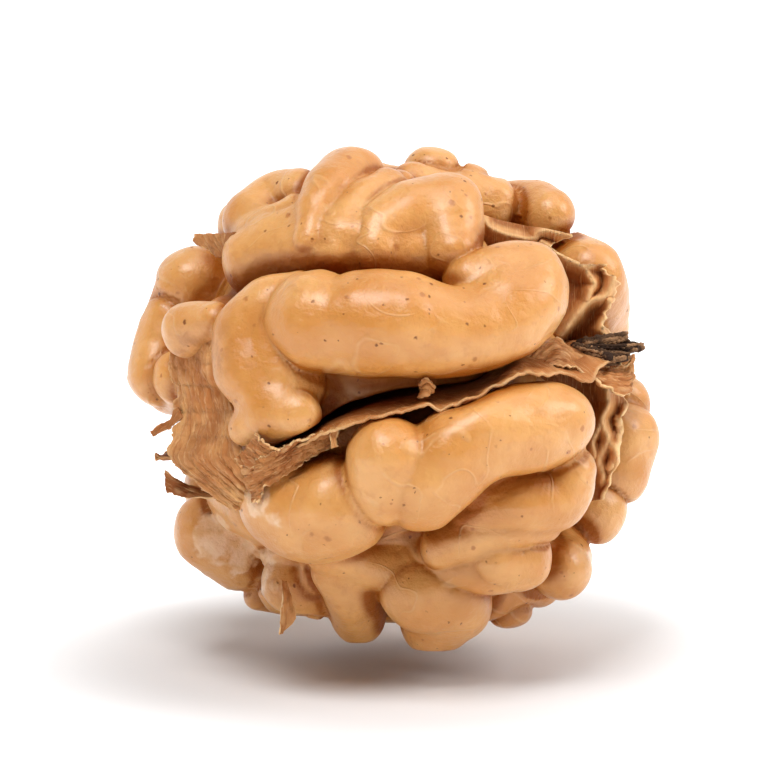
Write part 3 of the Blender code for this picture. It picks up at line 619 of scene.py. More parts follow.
# Scraped places on the flesh: their middle and reach
SCARS = (((-10.3, -1.6, -8.5), 1.5), ((-8.9, -1.8, -9.4), 1.5), ((-7.6, -2.2, -10.0), 1.2),
         ((-8.1, -10.6, -5.0), 0.8), ((-7.6, -10.9, -5.9), 0.8), ((-6.9, -11.2, -6.8), 0.7))


def scar_share(points):
    """Scraped, whitish places with a ragged border: balls whose edge is moved by noise."""
    ragged = 0.55 * rough_noise(points, 0.9, 91)
    share = 0.0
    for middle, reach in SCARS:
        past = np.linalg.norm(points - middle, axis=1) / reach - 1
        share = np.maximum(share, smoothstep(0.25, -0.05, past + ragged))
    return share


def relief(points, hollow, scar):
    """Height of the skin's own relief: broad swells, shallow dents, fine pleats in the grooves."""
    swell = 0.2 * value_noise(points, 2.7, 21) + 0.07 * value_noise(points, 1.3, 22)
    bent = points + 0.9 * np.stack([value_noise(points, 2.5, 30 + k) for k in range(3)], axis=1)
    pleat = -0.05 * line_noise(bent, 2.6, 41) * (0.25 + 0.75 * hollow)
    scraped = scar * (0.03 + 0.09 * rough_noise(points, 1.1, 61))
    return swell + pleat + scraped


# Materials


class Graph:
    """A node tree under construction, with short ways to add the nodes that the looks use."""

    def __init__(self, tree):
        self.nodes = tree.nodes
        self.links = tree.links

    def node(self, kind, **values):
        """A node with its plain properties and, with in_ before them, its inputs set."""
        made = self.nodes.new(kind)
        for key, value in values.items():
            if key.startswith("in_"):
                self.feed(made.inputs[key[3:].replace("_", " ")], value)
            else:
                setattr(made, key, value)
        return made

    def feed(self, socket, value):
        """Give an input a value, a colour or another node's output."""
        if isinstance(value, bpy.types.NodeSocket):
            self.links.new(value, socket)
        elif isinstance(value, (int, float)) or len(value) == len(socket.default_value):
            socket.default_value = value
        else:
            socket.default_value = (*value, 1.0)

    def mix(self, share, first, second):
        """A colour mix; share, first and second are values, colours or sockets."""
        made = self.node("ShaderNodeMix", data_type="RGBA")
        for index, value in ((0, share), (6, first), (7, second)):
            self.feed(made.inputs[index], value)
        return made.outputs[2]

    def ramp(self, value, low, high, start=0.0, end=1.0):
        """A smooth rise from start to end as value goes from low to high."""
        made = self.node("ShaderNodeMapRange", interpolation_type="SMOOTHSTEP")
        for index, number in enumerate((value, low, high, start, end)):
            self.feed(made.inputs[index], number)
        return made.outputs[0]

    def maths(self, operation, first, second=0.0):
        made = self.node("ShaderNodeMath", operation=operation)
        for index, value in enumerate((first, second)):
            self.feed(made.inputs[index], value)
        return made.outputs[0]

    def times(self, first, second):
        return self.maths("MULTIPLY", first, second)

    def plus(self, first, second):
        return self.maths("ADD", first, second)

    def larger(self, first, second):
        return self.maths("MAXIMUM", first, second)

    def noise(self, vector, scale, **values):
        """A noise texture of this vector; scale is a value or a socket."""
        return self.node("ShaderNodeTexNoise", in_Vector=vector, in_Scale=scale, **values).outputs[0]

    def painted(self, name):
        """A number that was written on the mesh's points."""
        return self.node("ShaderNodeAttribute", attribute_name=name).outputs["Fac"]

    def placed(self):
        """The place on the object, in metres."""
        return self.node("ShaderNodeTexCoord").outputs["Object"]

    def group(self, group, **values):
        """A shared node group with its named inputs set."""
        made = self.node("ShaderNodeGroup", node_tree=group)
        for key, value in values.items():
            self.feed(made.inputs[key], value)
        return made.outputs


def new_material(name, roughness, **values):
    """A material, its graph and its shader with the named plain inputs set."""
    material = bpy.data.materials.new(name)
    material.use_nodes = True
    graph = Graph(material.node_tree)
    shader = material.node_tree.nodes["Principled BSDF"]
    for key, value in {"Roughness": roughness, **values}.items():
        shader.inputs[key.replace("_", " ")].default_value = value
    return material, graph, shader.inputs


def new_group(name, inputs, outputs):
    """An empty node group with named number inputs and outputs; Vector is a vector."""
    group = bpy.data.node_groups.new(name, "ShaderNodeTree")
    for labels, way in ((inputs, "INPUT"), (outputs, "OUTPUT")):
        for label in labels:
            kind = "NodeSocketVector" if label == "Vector" else "NodeSocketFloat"
            group.interface.new_socket(name=label, in_out=way, socket_type=kind)
    graph = Graph(group)
    return group, graph, graph.node("NodeGroupInput").outputs, graph.node("NodeGroupOutput").inputs


def cloud_group():
    """Broad and fine cloudiness of a natural colour, both from 0 to 1, at a size in metres."""
    group, graph, start, end = new_group("clouds", ("Vector", "Scale"), ("Broad", "Fine"))
    for label, ratio, detail in (("Broad", 1.0, 3.0), ("Fine", 5.0, 5.0)):
        scale = graph.times(start["Scale"], ratio)
        graph.feed(end[label], graph.noise(start["Vector"], scale, in_Detail=detail, in_Roughness=0.6))
    return group


def speck_group():
    """Scattered dots: cells whose own random number is low carry a round dot with a soft edge."""
    group, graph, start, end = new_group("specks", ("Vector", "Scale", "Share", "Radius"), ("Mask",))
    cells = graph.node("ShaderNodeTexVoronoi", in_Randomness=1.0, in_Vector=start["Vector"],
                       in_Scale=start["Scale"])
    draw = graph.node("ShaderNodeSeparateColor", in_Color=cells.outputs["Color"]).outputs
    chosen = graph.maths("LESS_THAN", draw[0], start["Share"])
    size = graph.times(start["Radius"], graph.plus(draw[1], 0.35))
    near = graph.maths("SUBTRACT", 1.0, graph.maths("DIVIDE", cells.outputs["Distance"], size))
    graph.feed(end["Mask"], graph.times(graph.ramp(near, 0.0, 0.6), chosen))
    return group


def pleat_group():
    """Fine nested wrinkles: level lines of a warped noise, 1 on a line, kept in some places."""
    group, graph, start, end = new_group("pleats", ("Vector", "Scale", "Lines"), ("Mask",))
    field = graph.noise(start["Vector"], start["Scale"], in_Detail=1.5, in_Roughness=0.4,
                        in_Distortion=0.6)
    level = graph.maths("FRACT", graph.times(field, start["Lines"]))
    away = graph.maths("ABSOLUTE", graph.maths("SUBTRACT", level, 0.5))
    line = graph.ramp(away, 0.0, 0.08, 1.0, 0.0)
    where = graph.ramp(graph.noise(start["Vector"], 230.0, in_Detail=3.0), 0.44, 0.62)
    graph.feed(end["Mask"], graph.times(line, where))
    return group


def fibre_group():
    """Streaks along a papery piece's fibres: noise that is long along them and narrow across."""
    group, graph, start, end = new_group("fibres", ("Along", "Across"), ("Coarse", "Fine"))
    for label, along, across in (("Coarse", 0.35, 2.2), ("Fine", 0.9, 9.0)):
        place = graph.node("ShaderNodeCombineXYZ", in_X=graph.times(start["Along"], along),
                           in_Y=graph.times(start["Across"], across)).outputs[0]
        graph.feed(end[label], graph.noise(place, 1.0, in_Detail=4.0, in_Roughness=0.6,
                                           in_Distortion=0.3))
    return group


def skin_material(settings, groups):
    """Waxy seed coat: tan, with painted shade in the grooves and creases (partly the coat's own browner
    tone there), with clouds, wrinkles, specks and scrapes.
    """
    material, graph, shader = new_material(
        "kernel_skin", 0.4, Subsurface_Weight=0.2, Subsurface_Radius=(1.0, 0.4, 0.15),
        Subsurface_Scale=0.0009, Specular_IOR_Level=0.35, Coat_Roughness=0.3)
    vector = graph.placed()
    hollow, crease, web, scar = (graph.painted(name) for name in ("hollow", "crease", "web", "scar"))
    clouds = graph.group(groups["clouds"], Vector=vector, Scale=190.0)
    grain = graph.group(groups["clouds"], Vector=vector, Scale=1100.0)
    pleats = graph.group(groups["pleats"], Vector=vector, Scale=210.0, Lines=5.0)["Mask"]
    ruffle = graph.node("ShaderNodeTexNoise", in_Vector=vector, in_Scale=3000.0, in_Detail=2.0)
    moved = graph.node("ShaderNodeVectorMath", operation="MULTIPLY_ADD")
    for index, value in enumerate((ruffle.outputs["Color"], (0.0003, 0.0003, 0.0003), vector)):
        graph.feed(moved.inputs[index], value)
    ruffled = moved.outputs[0]
    specks, halos, dots = (
        graph.group(groups["specks"], Vector=ruffled, Scale=scale, Share=share, Radius=size)["Mask"]
        for scale, share, size in ((1000.0, 0.4, 0.13), (760.0, 0.75, 0.16), (1500.0, 0.4, 0.14)))
    # Painted shade: the groove colour goes where the flesh is shut in and along the creases between folds,
    # partly also the coat's own browner tone there.
    shut = graph.larger(graph.ramp(hollow, 0.08, 0.58), graph.times(crease, 0.8))
    spots = graph.larger(specks, graph.times(dots, 0.8))
    flake = graph.mix(graph.ramp(clouds["Fine"], 0.35, 0.65), (0.42, 0.16, 0.035), (0.64, 0.3, 0.1))
    scraped = graph.mix(graph.ramp(clouds["Fine"], 0.35, 0.65), (0.8, 0.52, 0.31), (0.7, 0.38, 0.17))
    colour = settings.skin_pale
    for share, tint in ((graph.ramp(clouds["Broad"], 0.32, 0.7), settings.skin_ripe),
                        (graph.ramp(clouds["Fine"], 0.5, 0.78, 0.0, 0.45), settings.skin_ripe),
                        (graph.ramp(grain["Broad"], 0.54, 0.74, 0.0, 0.3), (0.5, 0.18, 0.04)),
                        (shut, settings.skin_groove_shade),
                        (graph.times(pleats, 0.2), (0.86, 0.56, 0.28)),
                        (graph.times(web, 0.8), flake),
                        (graph.times(halos, 0.75), (0.42, 0.13, 0.018)),
                        (graph.times(spots, 0.9), (0.17, 0.04, 0.004)),
                        (scar, scraped)):
        colour = graph.mix(share, colour, tint)
    graph.feed(shader["Base Color"], colour)
    dull = graph.larger(graph.larger(hollow, web), graph.times(scar, 0.6))
    graph.feed(shader["Roughness"], graph.plus(graph.ramp(clouds["Fine"], 0.3, 0.8, 0.3, 0.44),
                                               graph.times(dull, 0.25)))
    open_skin = graph.maths("SUBTRACT", 1.0, graph.larger(shut, spots))
    graph.feed(shader["Coat Weight"], graph.times(open_skin, 0.6))
    height = graph.noise(vector, 1900.0, in_Detail=6.0, in_Roughness=0.6)
    height = graph.plus(height, graph.times(pleats, 1.1))
    height = graph.plus(height, graph.times(clouds["Fine"], 2.2))
    bump = graph.node("ShaderNodeBump", in_Strength=0.4, in_Distance=0.0002, in_Height=height)
    graph.feed(shader["Normal"], bump.outputs[0])
    return material


def paper_material(settings, groups):
    """Dry papery lining: matt brown, streaked along its fibres, with painted shade where it is shut
    in and paler on its torn rims."""
    material, graph, shader = new_material(
        "partition_paper", 0.55, Specular_IOR_Level=0.25, Subsurface_Weight=0.12,
        Subsurface_Radius=(1.0, 0.5, 0.2), Subsurface_Scale=0.0004)
    clouds = graph.group(groups["clouds"], Vector=graph.placed(), Scale=330.0)
    fibres = graph.group(groups["fibres"], Along=graph.painted("along"), Across=graph.painted("aside"))
    colour = settings.paper_pale
    for share, tint in ((graph.ramp(clouds["Broad"], 0.35, 0.65), settings.paper_dark),
                        (graph.ramp(fibres["Coarse"], 0.42, 0.66, 0.0, 0.7), settings.paper_dark),
                        # Painted shade where the paper is shut in: the sheet inside the crack, the wall
                        # between its ridges and some shreds.
                        (graph.painted("shade"), settings.paper_fleck_and_shade),
                        (graph.ramp(fibres["Fine"], 0.52, 0.72, 0.0, 0.5), settings.paper_rim),
                        (graph.ramp(clouds["Fine"], 0.55, 0.75, 0.0, 0.45), settings.paper_fleck_and_shade),
                        (graph.painted("rim"), settings.paper_rim)):
        colour = graph.mix(share, colour, tint)
    graph.feed(shader["Base Color"], colour)
    height = graph.plus(graph.times(fibres["Fine"], 1.2), clouds["Fine"])
    bump = graph.node("ShaderNodeBump", in_Strength=0.6, in_Distance=0.00016, in_Height=height)
    graph.feed(shader["Normal"], bump.outputs[0])
    return material


def wood_material(settings, groups):
    """Dark brittle stem wood: near black, with tan splintered streaks."""
    material, graph, shader = new_material("stem_wood", 0.65, Specular_IOR_Level=0.2)
    clouds = graph.group(groups["clouds"], Vector=graph.placed(), Scale=1300.0)
    tan = graph.times(graph.painted("rim"), graph.ramp(clouds["Broad"], 0.3, 0.6))
    graph.feed(shader["Base Color"], graph.mix(tan, settings.wood_dark, settings.wood_tan))
    bump = graph.node("ShaderNodeBump", in_Strength=0.8, in_Distance=0.0002, in_Height=clouds["Fine"])
    graph.feed(shader["Normal"], bump.outputs[0])
    return material


# Papery pieces


def plate(name, points, rows, columns, closed, thickness):
    """A grid of points as a thin two-sided sheet: Solidify gives it its thickness."""
    thing = new_object(name, points, grid_faces(rows, columns, closed))
    solid = thing.modifiers.new("thickness", "SOLIDIFY")
    solid.thickness = thickness
    solid.offset = 0.0
    apply_modifiers(thing)
    return thing


def paint_paper(piece, rim, shade, along, aside):
    """Give a papery piece the values that its material reads; along and aside are in mm."""
    for name, values in (("rim", rim), ("shade", shade), ("along", along), ("aside", aside)):
        write_value(piece.data, name, values)


# The sheet's half sizes across and away, where its rim starts and stops keeping back, how far
# it dips at the front and rises before the wall
SHEET_HALF = (14.6, 13.1)
KEPT_BACK = ((168, 175), (247, 240))
FRONT_DIP = 0.5
STEM_RISE = 1.9


def build_sheet(settings):
    """The partition in the crack: polar grid from the isthmus to a torn rim, crinkled by noise.

    Where the torn tissue of the pointed end hides it, the rim keeps back inside the crack."""
    rings, spokes = 70, 560
    turn = np.arange(spokes) / spokes * 2 * math.pi
    out = np.linspace(0, 1, rings)[:, None]
    circle = np.stack((np.cos(turn), np.sin(turn)))
    tear = rough_noise(np.stack((circle[0] * 9, circle[1] * 9, turn * 0), axis=1), 1.6, 71, 4)
    angle = np.degrees(turn)
    kept_back = smoothstep(*KEPT_BACK[0], angle) * smoothstep(*KEPT_BACK[1], angle)
    rim = 1 + 0.03 * tear - 0.2 * kept_back
    flat = np.zeros((rings * spokes, 3))
    for axis, half in enumerate(SHEET_HALF):
        start = ISTHMUS[axis] + ISTHMUS[2] * circle[axis]
        flat[:, axis] = (start * (1 - out) + half * circle[axis] * rim * out).ravel()
    up = crack_height(flat[:, 0], flat[:, 1])
    edge = np.repeat(out.ravel(), spokes)
    front = smoothstep(-9.0, -12.5, flat[:, 1])
    up += 0.28 * value_noise(flat, 4.0, 72) + (0.05 + 0.2 * edge ** 6) * rough_noise(flat, 0.9, 73)
    up -= FRONT_DIP * front * smoothstep(-6.0, 0.0, flat[:, 0])
    before_wall = smoothstep(-8.6, -4.6, flat[:, 1]) * (flat[:, 1] < WALL_AWAY)
    up += STEM_RISE * smoothstep(8.6, 11.0, flat[:, 0]) * before_wall
    flat[:, 2] = up
    sheet = plate("partition_sheet", flat, rings, spokes, True, settings.paper_thickness)
    points = read_points(sheet.data)
    reach = np.tile(edge, 2)
    worn = 0.5 + 0.4 * value_noise(points, 1.2, 77)
    # The torn rim is paler; inward of it the sheet gets painted shade, as it lies shut in the crack.
    paint_paper(sheet, smoothstep(0.985, 1.0, reach) * worn, 0.7 * smoothstep(0.99, 0.88, reach),
                reach * 9, np.tile(turn, rings * 2) * 13)
    write_points(sheet.data, lay_down(points))
    return sheet


# The upright wall's inner and outer edge from its foot to its torn top: across, up
WALL_INNER = ((11.5, -6.0), (11.3, -3.0), (10.2, 0.0), (8.0, 2.0), (7.2, 3.5), (6.8, 5.2), (6.6, 6.6),
              (6.4, 7.6), (6.0, 8.4), (5.6, 9.1), (5.2, 9.9), (5.0, 10.9))
WALL_OUTER = ((12.6, -5.8), (13.0, -3.0), (13.6, 0.0), (13.4, 2.4), (12.5, 4.4), (12.8, 5.8), (13.0, 6.9),
              (12.4, 7.9), (11.2, 7.9), (10.0, 8.5), (9.3, 9.1), (10.5, 9.7))

# Ridges on the wall's front, where old folds pressed into it: routes of across, up
WALL_RIDGES = (
    ((8.8, 9.2), (9.6, 8.7), (10.3, 8.2), (11.3, 7.8), (12.1, 8.2), (12.8, 7.7), (12.9, 6.9),
     (12.6, 6.3), (11.6, 5.8), (10.9, 5.1), (10.2, 4.4), (9.7, 3.9)),
    ((11.3, 7.7), (11.8, 6.9), (11.5, 6.4), (11.4, 5.8)),
    ((12.7, 6.0), (12.6, 4.9), (12.3, 4.2), (12.5, 3.7)),
    ((5.1, 10.9), (5.6, 10.2), (6.2, 9.8), (7.3, 9.5), (8.3, 9.5), (8.8, 9.9), (10.6, 9.8)),
    ((12.3, 0.9), (12.7, -0.2), (12.2, -1.2), (12.6, -2.3), (12.1, -3.4), (12.4, -4.6)),
    ((12.2, -1.2), (11.7, -2.2), (11.9, -3.2)),
    ((12.6, -2.3), (13.1, -3.0), (12.7, -4.0)),
)
RIDGE_HEIGHT = 1.7
RIDGE_WIDTH = 0.42
CURL_DEPTH = 0.9


def build_wall(settings):
    """The upright wall: a loft between its two edges, raised along the ridges, with a curled
    ragged outer rim at its foot."""
    rows, columns = 300, 110
    inner, outer = route(WALL_INNER, 30), route(WALL_OUTER, 30)
    pick = np.linspace(0, len(inner) - 1, rows)
    inner, outer = resample(inner, rows), resample(outer, rows)
    t = np.linspace(0, 1, columns)[None, :, None]
    ragged = 0.05 + 0.15 * smoothstep(1.0, -1.0, outer[:, 1])
    tear = 1 + ragged * rough_noise(np.stack((pick * 0.07, pick * 0, pick * 0), axis=1), 1.0, 83, 3)
    torn = inner + (outer - inner) * tear[:, None]
    flat = (inner[:, None] * (1 - t) + torn[:, None] * t).reshape(-1, 2)
    place = np.stack((flat[:, 0], np.zeros(len(flat)), flat[:, 1]), axis=1)
    bent = flat + 0.14 * np.stack((value_noise(place, 0.9, 84), value_noise(place, 0.9, 85)), axis=1)
    gap = np.full(len(flat), FAR_AWAY)
    for ridge in WALL_RIDGES:
        line = route(ridge, 12)
        gap = np.minimum(gap, np.min(np.hypot(bent[:, None, 0] - line[None, :, 0],
                                              bent[:, None, 1] - line[None, :, 1]), axis=1))
    aside = np.tile(t.ravel(), rows)
    foot = smoothstep(0.4, -0.8, flat[:, 1])
    curl = foot * smoothstep(0.72, 1.0, aside + 0.1 * rough_noise(place, 0.7, 86))
    raised = RIDGE_HEIGHT * np.exp(-(gap / RIDGE_WIDTH) ** 1.4) + CURL_DEPTH * curl
    place[:, 1] = (WALL_AWAY - raised + 0.25 * value_noise(place, 2.5, 81)
                   + (0.07 + 0.3 * curl) * rough_noise(place, 0.8, 82))
    wall = plate("partition_wall", place, rows, columns, False, settings.paper_thickness)
    points = read_points(wall.data)
    # Painted shade in the recesses between the ridges, less on the curled rim; the ridge crests and torn
    # rims are paler.
    crest, deep = 0.65 * np.exp(-(gap / 0.12) ** 2), smoothstep(0.15, 0.6, gap)
    rim = np.maximum(crest, np.maximum(smoothstep(0.5, 0.95, curl), smoothstep(0.97, 1.0, aside)))
    shade = 0.85 * deep * (1 - smoothstep(0.4, 0.9, curl))
    paint_paper(wall, *(np.tile(values, 2) for values in (rim, shade, flat[:, 1], flat[:, 0])))
    write_points(wall.data, lay_down(points))
    return wall


# Torn shreds of the partition, each a loft between two edges.  A station is the two edges'
# across, away and up.  Then: rows, columns, ragged ends, crumple in mm, painted shade, pale rim.
SHREDS = {
    "web": ((
        (-12.9, -5.2, 3.4, -10.6, -8.3, 3.6), (-12.9, -5.0, 1.9, -10.1, -9.0, 1.8),
        (-12.6, -5.2, 0.1, -9.5, -9.3, 0.0), (-12.6, -5.8, -1.7, -9.1, -10.0, -1.7),
        (-13.2, -6.4, -3.2, -8.7, -10.4, -3.1), (-12.4, -6.9, -4.1, -8.5, -10.6, -4.1),
        (-11.1, -7.6, -5.1, -8.3, -10.5, -5.2), (-9.5, -8.6, -6.2, -7.9, -10.2, -6.4)),
        170, 110, 0.09, 0.16, 0.0, 0.5),
    "torn_front": ((
        (-3.3, -11.6, -1.4, -3.2, -10.6, -2.3), (-4.3, -12.0, -1.7, -4.4, -11.2, -3.1),
        (-5.3, -12.3, -2.1, -5.6, -11.6, -3.9), (-6.4, -12.5, -2.8, -6.7, -11.8, -4.6),
        (-7.5, -12.2, -3.3, -7.5, -11.6, -5.2), (-8.6, -11.2, -3.6, -8.1, -11.0, -6.0)),
        170, 60, 0.12, 0.2, 0.35, 1.0),
    "flap": ((
        (-8.0, -12.3, -2.0, -8.9, -11.3, -3.2), (-7.2, -12.7, -2.5, -8.0, -12.1, -3.7),
        (-6.3, -12.8, -2.7, -7.0, -12.5, -3.6)),
        60, 40, 0.2, 0.25, 0.0, 0.8),
    "hanging": ((
        (-3.5, -12.4, -1.5, -3.1, -12.4, -1.5), (-3.55, -12.6, -2.1, -3.2, -12.6, -2.2),
        (-3.45, -12.6, -2.7, -3.15, -12.6, -2.6)),
        30, 12, 0.3, 0.1, 0.0, 1.0),
    "crumb": ((
        (1.4, -12.3, 0.9, 1.5, -12.1, 0.3), (1.9, -12.6, 1.2, 1.9, -12.3, 0.3),
        (2.4, -12.4, 0.8, 2.3, -12.1, 0.4)),
        40, 40, 0.2, 0.3, 0.1, 0.6),
    "spike": ((
        (-12.6, -5.6, -0.4, -12.3, -5.8, -0.9), (-13.2, -5.4, -1.1, -12.9, -5.6, -1.6),
        (-14.2, -5.0, -1.9, -14.1, -5.1, -2.1)),
        40, 14, 0.2, 0.12, 0.7, 0.3),
    "tab": ((
        (-10.3, -5.9, -5.4, -10.5, -6.1, -5.8), (-12.0, -5.3, -4.9, -12.2, -5.5, -5.6),
        (-13.4, -4.8, -4.3, -13.3, -4.9, -5.4)),
        50, 20, 0.15, 0.1, 0.6, 0.7),
    "lip": ((
        (7.0, -8.4, 2.0, 7.4, -9.6, 1.6), (9.2, -7.0, 3.6, 9.4, -8.8, 1.9),
        (10.9, -5.8, 2.6, 11.0, -7.6, 1.5), (12.2, -5.2, 2.2, 12.3, -6.8, 0.8),
        (13.6, -4.6, 2.2, 13.6, -5.8, 0.3), (14.2, -4.0, 2.6, 14.2, -4.6, 1.2)),
        120, 60, 0.12, 0.2, 0.1, 0.9),
    "left_flake": ((
        (-11.8, -3.4, 9.8, -9.0, -6.2, 9.8), (-11.4, -3.8, 9.2, -9.0, -6.6, 9.0),
        (-10.7, -4.4, 8.6, -9.0, -6.8, 8.0)),
        40, 40, 0.12, 0.15, 0.3, 0.6),
    "low_flake": ((
        (-6.5, -5.8, -10.6, -6.2, -5.9, -10.6), (-6.45, -6.5, -11.6, -5.85, -6.1, -11.7),
        (-6.5, -6.7, -12.5, -5.75, -6.1, -12.6), (-6.75, -6.0, -13.6, -6.5, -5.9, -13.6)),
        60, 24, 0.15, 0.1, 0.0, 1.0),
}


def build_shreds(settings):
    """The torn tissue: lofts crumpled by noise that runs along their fibres, with ragged rims."""
    pieces = []
    values = {"rim": [], "shade": [], "along": [], "aside": []}
    for number, (stations, rows, columns, ragged, crumple, shade, pale) in enumerate(SHREDS.values()):
        seed = 101 + 7 * number
        rails = route(stations, max(4, rows // len(stations)))
        rails = resample(rails, rows)
        first, last = rails[:, :3], rails[:, 3:]
        along = np.concatenate(([0], np.cumsum(np.linalg.norm(np.diff(first + last, axis=0), axis=1)))) / 2
        zero = along * 0
        low, high = (ragged * rough_noise(np.stack((along, zero + k, zero), axis=1), 0.8, seed + k, 4)
                     for k in (0, 1))
        even = np.linspace(0, 1, columns)[None, :]
        t = low[:, None] * (1 - even) + (1 + high[:, None]) * even
        points = first[:, None] * (1 - t[..., None]) + last[:, None] * t[..., None]
        width = np.linalg.norm(last - first, axis=1)[:, None] * t
        fibre = np.stack((np.repeat(along[:, None] * 0.45, columns, 1), width * 1.6, width * 0), axis=-1)
        lift = crumple * (rough_noise(fibre, 0.7, seed + 3, 4) + 0.5 * rough_noise(points, 0.6, seed + 4))
        normal = np.cross(np.gradient(points, axis=0), np.gradient(points, axis=1))
        normal /= np.linalg.norm(normal, axis=-1, keepdims=True) + 1e-9
        points = points + normal * lift[..., None]
        pieces.append(plate(f"shred_{number}", points.reshape(-1, 3), rows, columns, False,
                            settings.paper_thickness))
        rim = pale * np.maximum(smoothstep(0.03, 0.0, np.minimum(even, 1 - even)),
                                0.3 * smoothstep(0.6 * crumple, 1.4 * crumple, np.abs(lift)))
        # Each shred's painted shade, plus random darker stain patches.
        stain_and_shade = shade + 0.5 * smoothstep(0.0, 0.7, rough_noise(points, 1.8, seed + 5))
        for name, value in (("rim", rim), ("shade", stain_and_shade), ("aside", width),
                            ("along", np.repeat(along[:, None], columns, 1))):
            values[name].append(np.tile(value.ravel(), 2))
    surfaces = []
    for piece in pieces:
        faces = [tuple(face.vertices) for face in piece.data.polygons]
        surfaces.append((read_points(piece.data), faces))
        bpy.data.objects.remove(piece)
    points, faces = joined(surfaces)
    shreds = new_object("partition_shreds", lay_down(points), faces)
    paint_paper(shreds, *(np.concatenate(values[name]) for name in ("rim", "shade", "along", "aside")))
    return shreds


# The woody strands of the stem: start, middle and end (across, away, up) and their radii
STRANDS = (
    ((10.7, -5.0, 3.0), (12.6, -5.0, 3.0), (14.7, -5.0, 3.2), (0.62, 0.60, 0.42)),
    ((11.0, -5.3, 2.7), (12.6, -5.5, 2.5), (14.0, -5.7, 2.6), (0.50, 0.50, 0.38)),
    ((11.0, -5.0, 3.3), (12.4, -5.1, 3.5), (13.7, -5.2, 3.8), (0.46, 0.46, 0.34)),
    ((10.6, -5.3, 3.0), (11.8, -5.7, 2.7), (12.9, -6.1, 2.5), (0.50, 0.48, 0.36)),
)


FIBRES = 15


def build_stem():
    """A bundle of splintered fibres round each strand's route, with their own seeded wander,
    packed round a solid dark middle."""
    draw = np.random.RandomState(5)
    tubes, tan = [], []
    for start, middle, end, radii in STRANDS:
        main = route([(*place, radius) for place, radius in zip((start, middle, end), radii)], 14)
        heart = main[:-4].copy()
        heart[:, 3] *= 0.72
        tubes.append(tube(heart, 12, 4))
        tan.append(np.zeros(len(tubes[-1][0])))
        for _ in range(FIBRES):
            turn = draw.uniform(0, 2 * math.pi)
            out = draw.uniform(0.5, 0.9)
            first = draw.randint(0, 8)
            last = draw.randint(len(main) * 3 // 5, len(main) + 1)
            path = main[first:last].copy()
            twist = turn + np.linspace(0, draw.uniform(-0.5, 0.5), len(path))
            path[:, 1] += main[first:last, 3] * out * np.cos(twist)
            path[:, 2] += main[first:last, 3] * out * np.sin(twist)
            path[:, :3] += 0.02 * draw.normal(size=(len(path), 3))
            path[:, 3] = draw.uniform(0.08, 0.17) * np.linspace(1.1, 0.8, len(path))
            path[:, 3] *= 1 + 0.25 * draw.normal(size=len(path)).clip(-1, 1)
            tubes.append(tube(path, 6, 2))
            paleness = draw.uniform(0, 1) ** 1.2
            ending = smoothstep(0.8, 1.0, np.linspace(0, 1, len(tubes[-1][0])))
            tan.append(np.maximum(paleness, 0.9 * ending * draw.uniform(0, 1)))
    points, faces = joined(tubes)
    stem = new_object("stem_bundle", points, faces)
    write_value(stem.data, "rim", np.concatenate(tan))
    write_points(stem.data, lay_down(points))
    return stem


# The stage

# The floor's glow, painted light: off under the kernel, where its shadow stays, and full further out, where
# the floor turns white.  The distances where it starts and is full, in metres, and its strengths
FLOOR_GLOW = (0.014, 0.033, 0.0, 0.65)
AIR_STRENGTH = 0.02


def build_floor():
    """A pale sweep: flat under the kernel, curving up far behind it, and glowing away from the kernel as
    painted light.
    """
    line = route([(-0.9, 0.0), (0.35, 0.0), (0.5, 0.03), (0.6, 0.12), (0.64, 0.3), (0.64, 1.2)], 8)
    width = np.linspace(-1.4, 1.4, 9)
    columns = len(width)
    points = np.stack((np.tile(width, len(line)), *np.repeat(line, columns, 0).T), axis=1)
    floor = new_object("floor_sweep", points, grid_faces(len(line), columns)[:, ::-1])
    material, graph, shader = new_material("glowing_white_paper", 0.7, Base_Color=(0.78, 0.78, 0.785, 1.0),
                                           Emission_Color=(1.0, 1.0, 1.0, 1.0))
    far = graph.node("ShaderNodeVectorMath", operation="LENGTH")
    graph.feed(far.inputs[0], graph.placed())
    graph.feed(shader["Emission Strength"], graph.ramp(far.outputs["Value"], *FLOOR_GLOW))
    floor.data.materials.append(material)
    floor.data.shade_smooth()


# The soft square lights, turned to the kernel's middle: place and side in metres, and watts
KERNEL_MIDDLE = Vector((0.0, 0.0, 0.014))
LIGHTS = {
    "key": ((-0.06, -0.17, 0.34), 0.16, 1.1), "top": ((0.12, 0.02, 0.4), 0.24, 0.4),
    "right": ((0.33, -0.05, 0.24), 0.2, 0.95), "left_rim": ((-0.38, 0.1, 0.15), 0.3, 0.25),
}


def add_light(name, place, side, power):
    lamp = bpy.data.lights.new(name, "AREA")
    lamp.shape = "SQUARE"
    lamp.size = side
    lamp.energy = power
    thing = bpy.data.objects.new(name, lamp)
    thing.location = place
    thing.rotation_euler = (KERNEL_MIDDLE - Vector(place)).to_track_quat("-Z", "Y").to_euler()
    bpy.context.scene.collection.objects.link(thing)


def add_world(strength):
    world = bpy.data.worlds.new("studio_air")
    world.use_nodes = True
    world.node_tree.nodes["Background"].inputs[0].default_value = (1.0, 1.0, 1.0, 1.0)
    world.node_tree.nodes["Background"].inputs[1].default_value = strength
    bpy.context.scene.world = world


def add_camera():
    """The photograph's view: level with the front, REST_TIP above it, 260 mm from the middle."""
    distance, pixels_per_mm, frame_pixels, film = 260.0, 16.7, 768, 36.0
    aim_across, aim_up = -0.54, 0.96
    camera = bpy.data.cameras.new("camera")
    camera.lens = distance * pixels_per_mm * film / frame_pixels
    camera.sensor_width = film
    camera.clip_start = 0.01
    thing = bpy.data.objects.new("camera", camera)
    thing.location = lay_down([(aim_across, -distance, aim_up)])[0]
    thing.rotation_euler = (math.pi / 2 - REST_TIP, 0, 0)
    bpy.context.scene.collection.objects.link(thing)
    bpy.context.scene.camera = thing


# Settings, operators and panel


def colour_property(name, description, default):
    return FloatVectorProperty(name=name, description=description, default=default, subtype="COLOR",
                               size=3, min=0.0, max=1.0)


